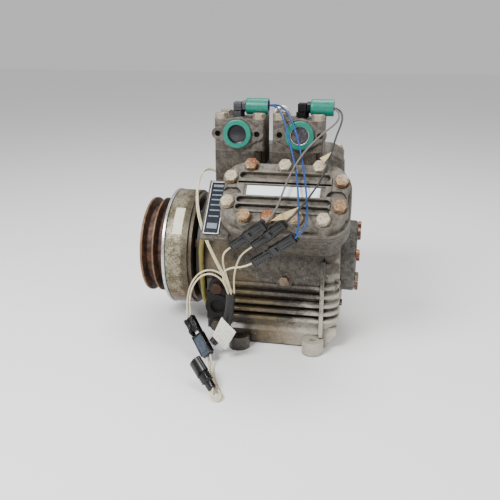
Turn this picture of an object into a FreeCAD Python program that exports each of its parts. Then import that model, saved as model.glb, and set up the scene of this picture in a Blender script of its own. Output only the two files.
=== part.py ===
"""Open-drive V4 refrigeration compressor with an electromagnetic belt clutch.

Frame, in millimetres: the origin is the centre of the four foot holes on the resting plane,
+X runs along the crankshaft towards the rear cover, +Y away from the front bank, +Z up.
A bank frame has its origin on the crankshaft axis, +X along the shaft, +Y up the slope
towards the valley between the banks, and +Z out along the cylinders.
"""
import FreeCAD, Part
import math
import os

V = FreeCAD.Vector

# ---- crankshaft, cylinders and banks
AXIS_HEIGHT = 133.0
BANK_ANGLE = 45.0
BORE = 60.0
STROKE = 49.0
ROD_LENGTH = 95.0
CYLINDER_PITCH = 78.0
BANK_CENTRE = 15.0
BANK_STAGGER = 20.0
DECK = 148.0
GASKET = 1.5
PLATE_THICKNESS = 8.0
JOURNAL = 38.0
CRANKPIN = 38.0
ROD_WIDTH = 18.0
WRIST_PIN = 18.0
PISTON_HEIGHT = 48.0
CROWN_HEIGHT = 28.0
RUNNING_GAP = 0.05

# ---- cylinder heads
HEAD_LENGTH = 186.0
HEAD_WIDTH = 108.0
HEAD_HEIGHT = 31.0
HEAD_CORNER = 32.0
HEAD_WALL_SETBACK = 5.0
HEAD_BOLT_SPOTS = [
    (-52.0, 42.0), (-3.0, 42.0), (46.0, 42.0), (-78.7, 20.4), (-78.7, -20.4), (78.9, 20.4),
    (78.9, -20.4), (-52.0, -42.0), (-19.0, -42.0), (21.0, -42.0), (58.0, -42.0),
]

# ---- M10 and M8 hexagon bolts
M10 = 10.0
M10_FLATS = 17.0
M10_HEAD = 6.5
M10_WASHER = 20.0
M10_WASHER_THICKNESS = 2.2
M8 = 8.0
M8_FLATS = 13.0
M8_HEAD = 5.3
HOLE_GAP = 0.5
THREAD_GAP = 0.05
THREAD_ENGAGEMENT = 20.0

# ---- crankcase
CASE_FRONT = -118.0
CASE_REAR = 95.0
CASE_HALF_WIDTH = 76.0
BARREL_RADIUS = 90.0
CHAMBER_RADIUS = 60.0
WALL = 12.0
BASE_UNDERSIDE = 3.0
FIN_HEIGHTS = [49.5, 62.5, 76.0, 91.5, 106.5]
FIN_THICKNESS = 6.0
FIN_DEPTH = 14.0
RIB_X = 70.0
FOOT_X = 59.0
FOOT_Y = 96.0
FOOT_RADIUS = 17.0
FOOT_HEIGHT = 22.0
FOOT_HOLE = 11.0

# ---- covers
FRONT_FLANGE_RADIUS = 86.0
FRONT_FLANGE_THICKNESS = 12.0
FRONT_BOLT_RADIUS = 70.0
REAR_COVER_RADIUS = 57.4
REAR_COVER_THICKNESS = 23.0
REAR_BOLT_RADIUS = 49.5
COVER_BOLTS = 8
NOSE_RADIUS = 36.0
NOSE_END = -168.0
BUSH_WALL = 5.0

# ---- clutch and pulley
MAGNET_RADIUS = 95.7
MAGNET_FRONT = -178.4
MAGNET_BACK = -137.0
ROTOR_FACE = -178.9
AIR_GAP = 0.5
ARMATURE_RADIUS = 97.0
ARMATURE_THICKNESS = 5.0
PULLEY_RADIUS = 79.7
PULLEY_FRONT = -225.9
GROOVE_PITCH = 19.0
GROOVE_TOP = 16.5
GROOVE_BOTTOM = 9.0
GROOVE_DEPTH = 13.5
FIRST_RIM = 3.4
HUB_RADIUS = 26.0
SHAFT_NOSE_RADIUS = 15.0
BALL = 5.4
BALLS = 13

# ---- shut-off valves
VALVE_LEFTS = {"discharge": -104.5, "suction": -15.6}
PORT_X = {"discharge": -68.6, "suction": 25.7}
VALVE_WIDTH = 76.0
VALVE_FRONT = -52.0
VALVE_REAR = 4.0
VALVE_SEAT = 309.0
VALVE_TOP = 356.0
PORT_HEIGHT = 334.8
PORT_FACE = -55.6
PORT_RADIUS = 16.0
PORT_BOSS_RADIUS = 23.0
PORT_HOLE_SPACING = 60.0
PORT_HOLE_RADIUS = 4.5
PORT_HOLE_END = -48.2
SPINDLE_RADIUS = 5.0
SPINDLE_TRAVEL = 12.0


def box(x0, x1, y0, y1, z0, z1):
    return Part.makeBox(x1 - x0, y1 - y0, z1 - z0, V(x0, y0, z0))


def rod_x(radius, x0, x1, y=0.0, z=AXIS_HEIGHT):
    return Part.makeCylinder(radius, x1 - x0, V(x0, y, z), V(1, 0, 0))


def rod_y(radius, y0, y1, x, z):
    return Part.makeCylinder(radius, y1 - y0, V(x, y0, z), V(0, 1, 0))


def rod_z(radius, z0, z1, x, y):
    return Part.makeCylinder(radius, z1 - z0, V(x, y, z0), V(0, 0, 1))


def ring_x(outer, inner, x0, x1, y=0.0, z=AXIS_HEIGHT):
    return rod_x(outer, x0, x1, y, z).cut(rod_x(inner, x0 - 1, x1 + 1, y, z))


def fuse(first, *others):
    return first.multiFuse(list(others)).removeSplitter()


def cut(first, *others):
    return first.cut(Part.makeCompound(list(others)))


def hexagon(flats, height, at, direction=V(0, 0, 1)):
    """A hexagonal prism whose base is centred at a point and which grows along a direction."""
    radius = flats / math.sqrt(3)
    corners = [V(radius * math.cos(math.radians(60 * k)), radius * math.sin(math.radians(60 * k)), 0)
               for k in range(7)]
    prism = Part.Face(Part.makePolygon(corners)).extrude(V(0, 0, height))
    return turn_to(prism, direction).translated(at)


def turn_to(shape, direction):
    """Turns a shape built along +Z so that it points along a direction."""
    turned = shape.copy()
    turned.Placement = FreeCAD.Placement(V(0, 0, 0), FreeCAD.Rotation(V(0, 0, 1), direction))
    return turned


def bolt(size, flats, head, length, at, direction, washer=None):
    """A hexagon bolt, and its washer if it has one. The seat is at a point and the head points out."""
    out = V(direction).normalize()
    thickness = washer[1] if washer else 0.0
    shank = Part.makeCylinder(size / 2, length + thickness, at - out * length, out)
    cap = hexagon(flats, head, at + out * thickness, out)
    crown = flats / 2 * 0.95
    dome = Part.makeCone(crown + head * math.sqrt(3), crown, head, at + out * thickness, out)
    solids = [fuse(shank, cap.common(dome))]
    if washer:
        disc = Part.makeCylinder(washer[0] / 2, thickness, at, out)
        solids.append(disc.cut(Part.makeCylinder(size / 2 + THREAD_GAP, thickness, at, out)))
    return solids


def m10_bolt(length, at, direction):
    return bolt(M10, M10_FLATS, M10_HEAD, length, at, direction, (M10_WASHER, M10_WASHER_THICKNESS))


def m8_bolt(length, at, direction):
    return bolt(M8, M8_FLATS, M8_HEAD, length, at, direction)


def to_bank(shape, bank):
    """Places a shape built in the bank frame on the front or the rear bank."""
    placed = shape.copy()
    if bank == "rear":
        placed = placed.translated(V(-BANK_STAGGER, 0, 0))
    placed.rotate(V(0, 0, 0), V(1, 0, 0), BANK_ANGLE)
    placed.translate(V(0, 0, AXIS_HEIGHT))
    if bank == "rear":
        placed = placed.mirror(V(0, 0, 0), V(0, 1, 0))
    return placed


def bank_point(x, slope, height, bank):
    vertex = to_bank(Part.Vertex(V(x, slope, height)), bank)
    return V(vertex.X, vertex.Y, vertex.Z)


def bank_outline(low, high, setback=0.0):
    """The rounded outline that the heads, plates, gaskets and bank flanges share."""
    length = HEAD_LENGTH - 2 * setback
    width = HEAD_WIDTH - 2 * setback
    block = box(BANK_CENTRE - length / 2, BANK_CENTRE + length / 2, -width / 2, width / 2, low, high)
    upright = [e for e in block.Edges if abs(e.Vertexes[0].Z - e.Vertexes[1].Z) > 0.5 * (high - low)]
    return block.makeFillet(HEAD_CORNER - setback, upright)


def head_bolt_points():
    return [(BANK_CENTRE + x, slope) for x, slope in HEAD_BOLT_SPOTS]


def bolt_holes(low, high, radius):
    return [rod_z(radius, low, high, x, slope) for x, slope in head_bolt_points()]


def cylinder_centres():
    return [BANK_CENTRE - CYLINDER_PITCH / 2, BANK_CENTRE + CYLINDER_PITCH / 2]


PLATE_LOW = DECK + GASKET
PLATE_HIGH = PLATE_LOW + PLATE_THICKNESS
HEAD_LOW = PLATE_HIGH + GASKET
HEAD_HIGH = HEAD_LOW + HEAD_HEIGHT
BANKS = ("front", "rear")


# ------------------------------------------------------------------ crankcase

def bank_body():
    """One bank of cylinders: the deck flange, its tapering root and the narrower barrel block."""
    flange = bank_outline(DECK - 20, DECK)
    half = HEAD_LENGTH / 2
    profile = [(-half, DECK - 12), (half, DECK - 12), (half - 28, DECK - 44), (-half + 28, DECK - 44),
               (-half, DECK - 12)]
    corners = [V(BANK_CENTRE + x, -HEAD_WIDTH / 2, n) for x, n in profile]
    root = Part.Face(Part.makePolygon(corners)).extrude(V(0, HEAD_WIDTH, 0))
    root = root.common(bank_outline(DECK - 50, DECK))
    block = box(BANK_CENTRE - 82, BANK_CENTRE + 80, -45, 54, 20, DECK - 20)
    return fuse(flange, root, block)


def nameplate_pad():
    """The cast ledge beside the front head. It stops short of the gasket and the plate above it."""
    pad = box(BANK_CENTRE - 121, BANK_CENTRE - 80, -58, 40, DECK - 6, DECK + 1)
    return pad.cut(bank_outline(DECK, DECK + 3, -0.3))


def fins():
    """Cooling fins that wrap the sump, on both sides and round the rear corners."""
    plates = []
    for height in FIN_HEIGHTS:
        plate = box(-74, CASE_REAR + 1.5, -CASE_HALF_WIDTH - FIN_DEPTH, CASE_HALF_WIDTH + FIN_DEPTH,
                    height - FIN_THICKNESS / 2, height + FIN_THICKNESS / 2)
        corners = [e for e in plate.Edges if e.BoundBox.ZLength > 1 and e.BoundBox.XMin > 0]
        plate = plate.makeFillet(26, corners)
        long_edges = [e for e in plate.Edges if e.BoundBox.ZLength < 0.1 and abs(e.BoundBox.YMin) > 30]
        plates.append(plate.makeFillet(2.2, long_edges))
    return plates


def feet():
    bosses = []
    for x in (-FOOT_X, FOOT_X):
        for y in (-FOOT_Y, FOOT_Y):
            bosses.append(rod_z(FOOT_RADIUS, 0, FOOT_HEIGHT, x, y))
            inner = math.copysign(60, y)
            web = box(x - 14, x + 14, min(y, inner), max(y, inner), BASE_UNDERSIDE, FOOT_HEIGHT - 3)
            bosses.append(web)
    return bosses


def foot_holes():
    return [rod_z(FOOT_HOLE / 2, -1, FOOT_HEIGHT + 1, x, y)
            for x in (-FOOT_X, FOOT_X) for y in (-FOOT_Y, FOOT_Y)]


def sump_box():
    """The sump, and the wider base rail under it whose rear end slopes up from the ground."""
    body = box(-78, CASE_REAR, -CASE_HALF_WIDTH, CASE_HALF_WIDTH, 22, AXIS_HEIGHT + 10)
    corners = [e for e in body.Edges if e.BoundBox.ZLength > 50 and e.BoundBox.XMin > 0]
    body = body.makeFillet(24, corners)
    profile = [(-76, BASE_UNDERSIDE), (76, BASE_UNDERSIDE), (CASE_REAR - 1, 24), (CASE_REAR - 1, 34), (-76, 34),
               (-76, BASE_UNDERSIDE)]
    base = Part.Face(Part.makePolygon([V(x, -82, z) for x, z in profile])).extrude(V(0, 164, 0))
    section = [(-88, BASE_UNDERSIDE - 1), (88, BASE_UNDERSIDE - 1), (88, 18), (74, 34), (-74, 34), (-88, 18),
               (-88, BASE_UNDERSIDE - 1)]
    rail = Part.Face(Part.makePolygon([V(-80, y, z) for y, z in section])).extrude(V(180, 0, 0))
    return fuse(body, base.common(rail))


def valve_pedestal(left):
    block = box(left, left + VALVE_WIDTH, VALVE_FRONT, VALVE_REAR, 190, VALVE_SEAT)
    corner = [e for e in block.Edges if e.BoundBox.ZLength > 50 and e.BoundBox.XMin > left + 10
              and e.BoundBox.YMax < VALVE_FRONT + 1]
    block = block.makeChamfer(15, corner)
    others = [e for e in block.Edges if e.BoundBox.ZLength > 50 and e.BoundBox.XMax < left + 1]
    return block.makeFillet(3, others)


def crankcase_solid():
    barrel = rod_x(BARREL_RADIUS, -76, RIB_X)
    front_barrel = rod_x(80.0, CASE_FRONT, -70)
    front_lower = box(CASE_FRONT + 4, -70, -70, 70, 26, AXIS_HEIGHT)
    rear_barrel = rod_x(72.0, RIB_X - 4, CASE_REAR)
    reach = CASE_HALF_WIDTH + FIN_DEPTH + 2
    rib = box(RIB_X - 3, RIB_X + 3, -reach, reach, 24, AXIS_HEIGHT + 18)
    sight_boss = box(-115, -77, -78, -66, 20, 106)
    gallery = box(-100, 56, -34, 34, 170, 286)
    eye_boss = rod_z(13, 220, 334, -13, 32)
    pieces = [front_barrel, front_lower, rear_barrel, rib, sump_box(), sight_boss, gallery, eye_boss]
    pieces += [to_bank(bank_body(), bank) for bank in BANKS]
    pieces += [to_bank(nameplate_pad(), "front")]
    pieces += [valve_pedestal(left) for left in VALVE_LEFTS.values()]
    pieces += fins() + feet()
    plug_boss = rod_y(13, -BARREL_RADIUS - 1, -60, 11, 117)
    return fuse(barrel, plug_boss, *pieces)


def crankcase_cavities():
    chamber = rod_x(CHAMBER_RADIUS, CASE_FRONT - 1, CASE_REAR - WALL)
    sump = box(-100, CASE_REAR - WALL - 3, -CASE_HALF_WIDTH + WALL, CASE_HALF_WIDTH - WALL, 38, AXIS_HEIGHT)
    low_sump = box(-64, 66, -CASE_HALF_WIDTH + WALL, CASE_HALF_WIDTH - WALL, 20, 45)
    opening = box(-52, 52, -44, 44, BASE_UNDERSIDE - 1, 25)
    recess = box(-68, 68, -59, 59, BASE_UNDERSIDE - 1, 14)
    rear_opening = rod_x(40.1, CASE_REAR - WALL - 2, CASE_REAR + 1)
    bores = []
    for bank in BANKS:
        for x in cylinder_centres():
            bores.append(to_bank(rod_z(BORE / 2, 10, DECK + 1, x, 0), bank))
        for hole in bolt_holes(DECK - THREAD_ENGAGEMENT - 4, DECK + 1, M10 / 2 + THREAD_GAP):
            bores.append(to_bank(hole, bank))
    cover_seat = rod_x(REAR_COVER_RADIUS + 0.6, CASE_REAR, CASE_REAR + 3)
    plug_seat = rod_x(8, CASE_REAR, CASE_REAR + 3, -44, 67)
    return [chamber, sump, low_sump, opening, recess, rear_opening, cover_seat, plug_seat] + bores


def case_threads():
    """Tapped holes for the covers, the sump plate, the valves, the lifting eye and the plug."""
    holes = [rod_x(M8 / 2 + THREAD_GAP, CASE_FRONT - 1, CASE_FRONT + 17, y, z)
             for y, z in bolt_circle(FRONT_BOLT_RADIUS)]
    holes += [rod_x(M8 / 2 + THREAD_GAP, CASE_REAR - 11, CASE_REAR + 1, y, z)
              for y, z in bolt_circle(REAR_BOLT_RADIUS)]
    holes += [rod_z(M8 / 2 + THREAD_GAP, 10, 19, x, y) for x, y in sump_bolt_points()]
    for left in VALVE_LEFTS.values():
        holes += [rod_z(M10 / 2 + THREAD_GAP, VALVE_SEAT - 24, VALVE_SEAT + 1, x, y)
                  for x, y in valve_bolt_points(left)]
    for name in VALVE_LEFTS:
        holes.append(rod_z(9, 262, VALVE_SEAT + 1, PORT_X[name], -34))
    holes.append(rod_z(M10 / 2 + THREAD_GAP, 314, 335, -13, 32))
    holes.append(rod_y(9.05, -BARREL_RADIUS - 2, -74, 11, 117))
    holes.append(rod_x(4 + THREAD_GAP, CASE_REAR - 9, CASE_REAR + 2, -44, 67))
    holes.append(rod_y(15, -79, -60, -96, 63))
    holes += [rod_y(M10 / 2 + THREAD_GAP, -79, -67, -96, z) for z in (31, 95)]
    return holes


def crankcase():
    return cut(crankcase_solid(), *(crankcase_cavities() + foot_holes() + case_threads()))


def bolt_circle(radius):
    """Places of the cover bolts round the crankshaft axis."""
    step = 2 * math.pi / COVER_BOLTS
    return [(radius * math.cos(step * (k + 0.5)), AXIS_HEIGHT + radius * math.sin(step * (k + 0.5)))
            for k in range(COVER_BOLTS)]


def sump_bolt_points():
    return [(x, y) for x in (-59, 0, 59) for y in (-50, 50)]


def valve_bolt_points(left):
    return [(left + x, y) for x in (9.0, VALVE_WIDTH - 9.0) for y in (-42.0, -4.5)]


# ------------------------------------------------------------------ covers

def front_cover():
    """Bearing cover with the shaft seal chamber in a nose that carries the clutch magnet."""
    face = CASE_FRONT - FRONT_FLANGE_THICKNESS
    flange = rod_x(FRONT_FLANGE_RADIUS, face, CASE_FRONT)
    spigot = rod_x(CHAMBER_RADIUS - THREAD_GAP, CASE_FRONT, CASE_FRONT + 12)
    boss = rod_x(32, CASE_FRONT, CASE_FRONT + 22)
    nose = rod_x(NOSE_RADIUS, NOSE_END, face)
    ribs = [box(NOSE_END + 34, face, -3, 3, AXIS_HEIGHT + 20, AXIS_HEIGHT + 50)]
    ribs = [r.common(rod_x(58, NOSE_END, face)) for r in ribs]
    body = fuse(flange, spigot, boss, nose)
    journal = JOURNAL / 2 + RUNNING_GAP + BUSH_WALL
    bore = rod_x(journal, CASE_FRONT - 8, CASE_FRONT + 23)
    seal_chamber = rod_x(28, NOSE_END + 10, CASE_FRONT - 8)
    shaft_way = rod_x(19.5, NOSE_END - 1, NOSE_END + 11)
    holes = [rod_x(M8 / 2 + HOLE_GAP, face - 1, CASE_FRONT + 1, y, z)
             for y, z in bolt_circle(FRONT_BOLT_RADIUS)]
    return cut(body, bore, seal_chamber, shaft_way, *holes)


def rear_cover():
    """Domed cover that closes the crank chamber and holds the rear bush."""
    outer = CASE_REAR + REAR_COVER_THICKNESS
    disc = rod_x(REAR_COVER_RADIUS, CASE_REAR, outer)
    rim = [e for e in disc.Edges if e.BoundBox.XMin > outer - 0.1]
    disc = disc.makeFillet(5, rim)
    spigot = rod_x(40, CASE_REAR - 11, CASE_REAR)
    bush_bore = rod_x(JOURNAL / 2 + RUNNING_GAP + BUSH_WALL, CASE_REAR - 12, CASE_REAR + 14)
    holes = [rod_x(M8 / 2 + HOLE_GAP, CASE_REAR - 1, outer + 1, y, z)
             for y, z in bolt_circle(REAR_BOLT_RADIUS)]
    return cut(fuse(disc, spigot), bush_bore, *holes)


def sump_plate():
    plate = box(-65.5, 65.5, -55.5, 55.5, 9, 14)
    plate = plate.makeFillet(6, [e for e in plate.Edges if e.BoundBox.ZLength > 4])
    return cut(plate, *[rod_z(M8 / 2 + HOLE_GAP, 8, 15, x, y) for x, y in sump_bolt_points()])


def case_bolts():
    solids = []
    for y, z in bolt_circle(FRONT_BOLT_RADIUS):
        solids += m8_bolt(28, V(CASE_FRONT - FRONT_FLANGE_THICKNESS, y, z), V(-1, 0, 0))
    for y, z in bolt_circle(REAR_BOLT_RADIUS):
        solids += m8_bolt(REAR_COVER_THICKNESS + 9, V(CASE_REAR + REAR_COVER_THICKNESS, y, z), V(1, 0, 0))
    for x, y in sump_bolt_points():
        solids += m8_bolt(9, V(x, y, 9), V(0, 0, -1))
    return solids


def main_bushes():
    inner = JOURNAL / 2 + RUNNING_GAP
    front = ring_x(inner + BUSH_WALL, inner, CASE_FRONT - 8, CASE_FRONT + 22)
    rear = ring_x(inner + BUSH_WALL, inner, CASE_REAR - 11, CASE_REAR + 13)
    return [front, rear]


# ------------------------------------------------------------------ heads and valve gear

def head_block():
    foot = bank_outline(HEAD_LOW, HEAD_LOW + 9)
    wall = bank_outline(HEAD_LOW, HEAD_HIGH, HEAD_WALL_SETBACK)
    rim = [e for e in wall.Edges if e.BoundBox.ZMin > HEAD_HIGH - 0.1]
    wall = wall.makeFillet(4, rim)
    bosses = [rod_z(11.9, HEAD_LOW, HEAD_HIGH, x, slope) for x, slope in head_bolt_points()]
    panel = box(BANK_CENTRE - 69, BANK_CENTRE + 65, -34, 34, HEAD_HIGH - 8, HEAD_HIGH + 2.5)
    upright = [e for e in panel.Edges if e.BoundBox.ZLength > 5]
    return fuse(foot, wall, panel.makeFillet(9, upright), *bosses)


def slot(x0, x1, low, high, depth):
    """A groove with rounded ends in the head's outer face."""
    radius = (high - low) / 2
    floor = HEAD_HIGH - depth
    top = HEAD_HIGH + 5
    middle = box(x0 + radius, x1 - radius, low, high, floor, top)
    mid = (low + high) / 2
    return fuse(middle, rod_z(radius, floor, top, x0 + radius, mid), rod_z(radius, floor, top, x1 - radius, mid))


def head_grooves():
    left = BANK_CENTRE - 67
    right = BANK_CENTRE + 63
    grooves = [slot(left, right, 20, 31, 5), slot(left - 1, right + 2, 12, 15.5, 2.5)]
    grooves += [slot(left, right + 2, -19.5, -9.5, 5), slot(left, right + 2, -31, -22, 5)]
    grooves += [box(BANK_CENTRE - 58, BANK_CENTRE + 57, -8, 10.5, HEAD_HIGH + 1, HEAD_HIGH + 5)]
    for x in (BANK_CENTRE - 76, BANK_CENTRE + 73):
        pocket = rod_z(15, HEAD_HIGH - 5, HEAD_HIGH + 5, x, -8)
        window = box(x - 15, x + 15, -5, 6, HEAD_HIGH - 6, HEAD_HIGH + 6)
        grooves.append(pocket.common(window))
    return grooves


def cylinder_head():
    """One head. It has a discharge chamber in the middle and suction chambers along its sides."""
    discharge = box(BANK_CENTRE - 66, BANK_CENTRE + 66, -14, 14, HEAD_LOW - 1, HEAD_LOW + 17)
    chambers = [discharge]
    for low, high in ((19, 31), (-31, -19)):
        chambers.append(box(BANK_CENTRE - 62, BANK_CENTRE + 62, low, high, HEAD_LOW - 1, HEAD_LOW + 17))
    holes = bolt_holes(HEAD_LOW - 1, HEAD_HIGH + 1, M10 / 2 + HOLE_GAP)
    holes += bolt_holes(HEAD_HIGH, HEAD_HIGH + 10, M10_WASHER / 2 + 0.4)
    return cut(head_block(), *(head_grooves() + chambers + holes))


def valve_plates():
    plate = bank_outline(PLATE_LOW, PLATE_HIGH)
    ports = bolt_holes(PLATE_LOW - 1, PLATE_HIGH + 1, M10 / 2 + HOLE_GAP)
    for x in cylinder_centres():
        for k in range(4):
            angle = math.radians(90 * k)
            ports.append(rod_z(3.6, PLATE_LOW - 1, PLATE_HIGH + 1, x + 8 * math.cos(angle), 8 * math.sin(angle)))
        for side in (-1, 1):
            for shift in (-9, 0, 9):
                ports.append(rod_z(3.4, PLATE_LOW - 1, PLATE_HIGH + 1, x + shift, side * 22.5))
    plate = cut(plate, *ports)
    return [to_bank(plate, bank) for bank in BANKS]


def cylinder_gaskets():
    base = bank_outline(DECK, PLATE_LOW)
    base = cut(base, *([rod_z(BORE / 2 + 0.5, DECK - 1, PLATE_LOW + 1, x, 0) for x in cylinder_centres()]
                       + bolt_holes(DECK - 1, PLATE_LOW + 1, M10 / 2 + HOLE_GAP)))
    top = bank_outline(PLATE_HIGH, HEAD_LOW)
    windows = [box(BANK_CENTRE - 66, BANK_CENTRE + 66, low, high, PLATE_HIGH - 1, HEAD_LOW + 1)
               for low, high in ((-14, 14), (19, 31), (-31, -19))]
    top = cut(top, *(windows + bolt_holes(PLATE_HIGH - 1, HEAD_LOW + 1, M10 / 2 + HOLE_GAP)))
    return [to_bank(g, bank) for bank in BANKS for g in (base, top)]


def valve_reeds():
    """Spring-steel reeds: a suction ring under and a discharge star over each cylinder."""
    solids = []
    for bank in BANKS:
        for x in cylinder_centres():
            ring = rod_z(28.5, PLATE_LOW - 0.5, PLATE_LOW, x, 0).cut(rod_z(14, 0, 200, x, 0))
            disc = rod_z(12.6, PLATE_HIGH, PLATE_HIGH + 0.5, x, 0)
            stop = rod_z(12.6, PLATE_HIGH + 3, PLATE_HIGH + 5, x, 0)
            post = rod_z(3, PLATE_HIGH + 0.5, PLATE_HIGH + 3, x, 0)
            solids += [to_bank(ring, bank), to_bank(disc, bank), to_bank(fuse(stop, post), bank)]
    return solids


def m10_bolts():
    """The head bolts of both banks and the bolts of both shut-off valves, with their washers."""
    solids = []
    length = HEAD_HIGH - DECK + THREAD_ENGAGEMENT
    for bank in BANKS:
        out = bank_point(0, 0, 1, bank) - bank_point(0, 0, 0, bank)
        for x, slope in head_bolt_points():
            solids += m10_bolt(length, bank_point(x, slope, HEAD_HIGH, bank), out)
    for left in VALVE_LEFTS.values():
        for x, y in valve_bolt_points(left):
            solids += m10_bolt(VALVE_TOP - VALVE_SEAT + 20, V(x, y, VALVE_TOP), V(0, 0, 1))
    return solids


# ------------------------------------------------------------------ running gear

PIN_SPOTS = [(BANK_CENTRE - CYLINDER_PITCH / 2 - BANK_STAGGER / 2, 1),
             (BANK_CENTRE + CYLINDER_PITCH / 2 - BANK_STAGGER / 2, -1)]


def crankshaft():
    """One forging: two throws half a turn apart, each carrying one rod of each bank."""
    throw = STROKE / 2
    half_pin = ROD_WIDTH + 2
    first, second = PIN_SPOTS[0][0], PIN_SPOTS[1][0]
    web = 14.0
    journals = [rod_x(JOURNAL / 2, CASE_FRONT - 9, first - half_pin - 1),
                rod_x(JOURNAL / 2, second + half_pin + 1, CASE_REAR + 12)]
    pins = [rod_x(CRANKPIN / 2, x - half_pin - 1, x + half_pin + 1, 0, AXIS_HEIGHT + side * throw)
            for x, side in PIN_SPOTS]
    webs = [crank_web(first - half_pin - web, first - half_pin, 1),
            crank_web(second + half_pin, second + half_pin + web, -1),
            rod_x(46, first + half_pin, second - half_pin)]
    seal_seat = rod_x(17, NOSE_END + 2, CASE_FRONT - 8)
    nose = rod_x(SHAFT_NOSE_RADIUS, PULLEY_FRONT + 13, NOSE_END + 3)
    shaft = fuse(journals[0], journals[1], seal_seat, nose, *(pins + webs))
    keyway = box(-204, -184, -4, 4, AXIS_HEIGHT + SHAFT_NOSE_RADIUS - 4, AXIS_HEIGHT + 30)
    thread = rod_x(6 + THREAD_GAP, PULLEY_FRONT + 12, PULLEY_FRONT + 40)
    return cut(shaft, keyway, thread)


def crank_web(x0, x1, side):
    """A cheek with a counterweight opposite its throw."""
    disc = rod_x(48, x0, x1)
    edge = AXIS_HEIGHT + side * 8
    waists = [box(x0 - 1, x1 + 1, y0, y0 + 30, min(edge, edge + side * 60), max(edge, edge + side * 60))
              for y0 in (-54, 24)]
    return cut(disc, *waists)


def wrist_height(side):
    """Distance from the crankshaft axis to the wrist pin along its bank's axis, at rest."""
    angle = math.radians(BANK_ANGLE if side > 0 else 180 - BANK_ANGLE)
    throw = STROKE / 2
    return throw * math.cos(angle) + math.sqrt(ROD_LENGTH ** 2 - (throw * math.sin(angle)) ** 2)


def piston_solids(x, side):
    """A piston with its rings and wrist pin, in the bank frame."""
    pin = wrist_height(side)
    crown = pin + CROWN_HEIGHT
    radius = BORE / 2 - RUNNING_GAP - 0.02
    body = rod_z(radius, crown - PISTON_HEIGHT, crown, x, 0)
    hollow = rod_z(radius - 5, crown - PISTON_HEIGHT - 1, crown - 8, x, 0)
    bosses = [rod_x(14, x + s * 16 - 6, x + s * 16 + 6, 0, pin) for s in (-1, 1)]
    shell = body.cut(hollow)
    body = fuse(shell, *[b.common(rod_z(radius, 0, crown, x, 0)) for b in bosses])
    pin_hole = rod_x(WRIST_PIN / 2 + 0.02, x - 40, x + 40, 0, pin)
    grooves = []
    rings = []
    for low in (crown - 8, crown - 14):
        grooves.append(rod_z(radius + 1, low - 0.05, low + 2.55, x, 0).cut(rod_z(radius - 3.6, 0, 300, x, 0)))
        rings.append(rod_z(BORE / 2 - 0.02, low, low + 2.5, x, 0).cut(rod_z(radius - 3.5, 0, 300, x, 0)))
    body = cut(body, pin_hole, *grooves)
    wrist = rod_x(WRIST_PIN / 2, x - 27, x + 27, 0, pin).cut(rod_x(5, x - 30, x + 30, 0, pin))
    return [body, wrist] + rings


def piston(number):
    """Pistons 1 and 2 are in the front bank, 3 and 4 in the rear bank."""
    bank = BANKS[(number - 1) // 2]
    index = (number - 1) % 2
    side = PIN_SPOTS[index][1]
    return [to_bank(s, bank) for s in piston_solids(cylinder_centres()[index], side)]


def connecting_rods():
    return [connecting_rod(bank, index) for bank in BANKS for index in (0, 1)]


def connecting_rod(bank, index):
    side = PIN_SPOTS[index][1]
    x = cylinder_centres()[index] - (BANK_STAGGER if bank == "rear" else 0)
    big = V(x, 0, AXIS_HEIGHT + side * STROKE / 2)
    small = bank_point(x, 0, wrist_height(side), "front")
    if bank == "rear":
        small.y = -small.y
    half = ROD_WIDTH / 2
    along = (small - big).normalize()
    big_eye = rod_x(25, x - half, x + half, big.y, big.z)
    small_eye = rod_x(13.5, x - half, x + half, small.y, small.z)
    across = V(1, 0, 0).cross(along)
    start = big + along * 18 - V(5, 0, 0)
    corners = [start - across * 11, start + across * 11, small - V(5, 0, 0) + across * 7,
               small - V(5, 0, 0) - across * 7, start - across * 11]
    shank = Part.Face(Part.makePolygon(corners)).extrude(V(10, 0, 0))
    lugs = [big + across * s for s in (-22, 22)]
    ears = [Part.makeCylinder(6, 26, p - along * 13, along) for p in lugs]
    rod = fuse(big_eye, small_eye, shank, *ears)
    big_bore = rod_x(CRANKPIN / 2 + RUNNING_GAP, x - 20, x + 20, big.y, big.z)
    small_bore = rod_x(WRIST_PIN / 2 + RUNNING_GAP, x - 20, x + 20, small.y, small.z)
    return cut(rod, big_bore, small_bore)


def shaft_seal_seat():
    return ring_x(27.9, 17.5, NOSE_END + 10, NOSE_END + 16)


def shaft_seal_ring():
    return ring_x(25, 17, NOSE_END + 16.1, CASE_FRONT - 10)


# ------------------------------------------------------------------ clutch

def clutch_magnet():
    """Fixed iron shell round the coil, seated on the nose of the front cover."""
    shell = ring_x(MAGNET_RADIUS, NOSE_RADIUS + THREAD_GAP, MAGNET_FRONT, MAGNET_BACK - 6)
    back = ring_x(92, NOSE_RADIUS + THREAD_GAP, MAGNET_BACK - 8, MAGNET_BACK)
    body = fuse(shell, back)
    channel = ring_x(90.3, 41, MAGNET_FRONT - 1, MAGNET_BACK - 7)
    front_relief = ring_x(90.3, 30, MAGNET_FRONT - 1, NOSE_END + 1)
    lead_hole = rod_x(3.5, MAGNET_BACK - 9, MAGNET_BACK + 1, 0, AXIS_HEIGHT + 80)
    return cut(body, channel, front_relief, lead_hole)


def clutch_coil():
    return ring_x(90.2, 41.1, MAGNET_FRONT + 8, MAGNET_BACK - 7.1)


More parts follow.
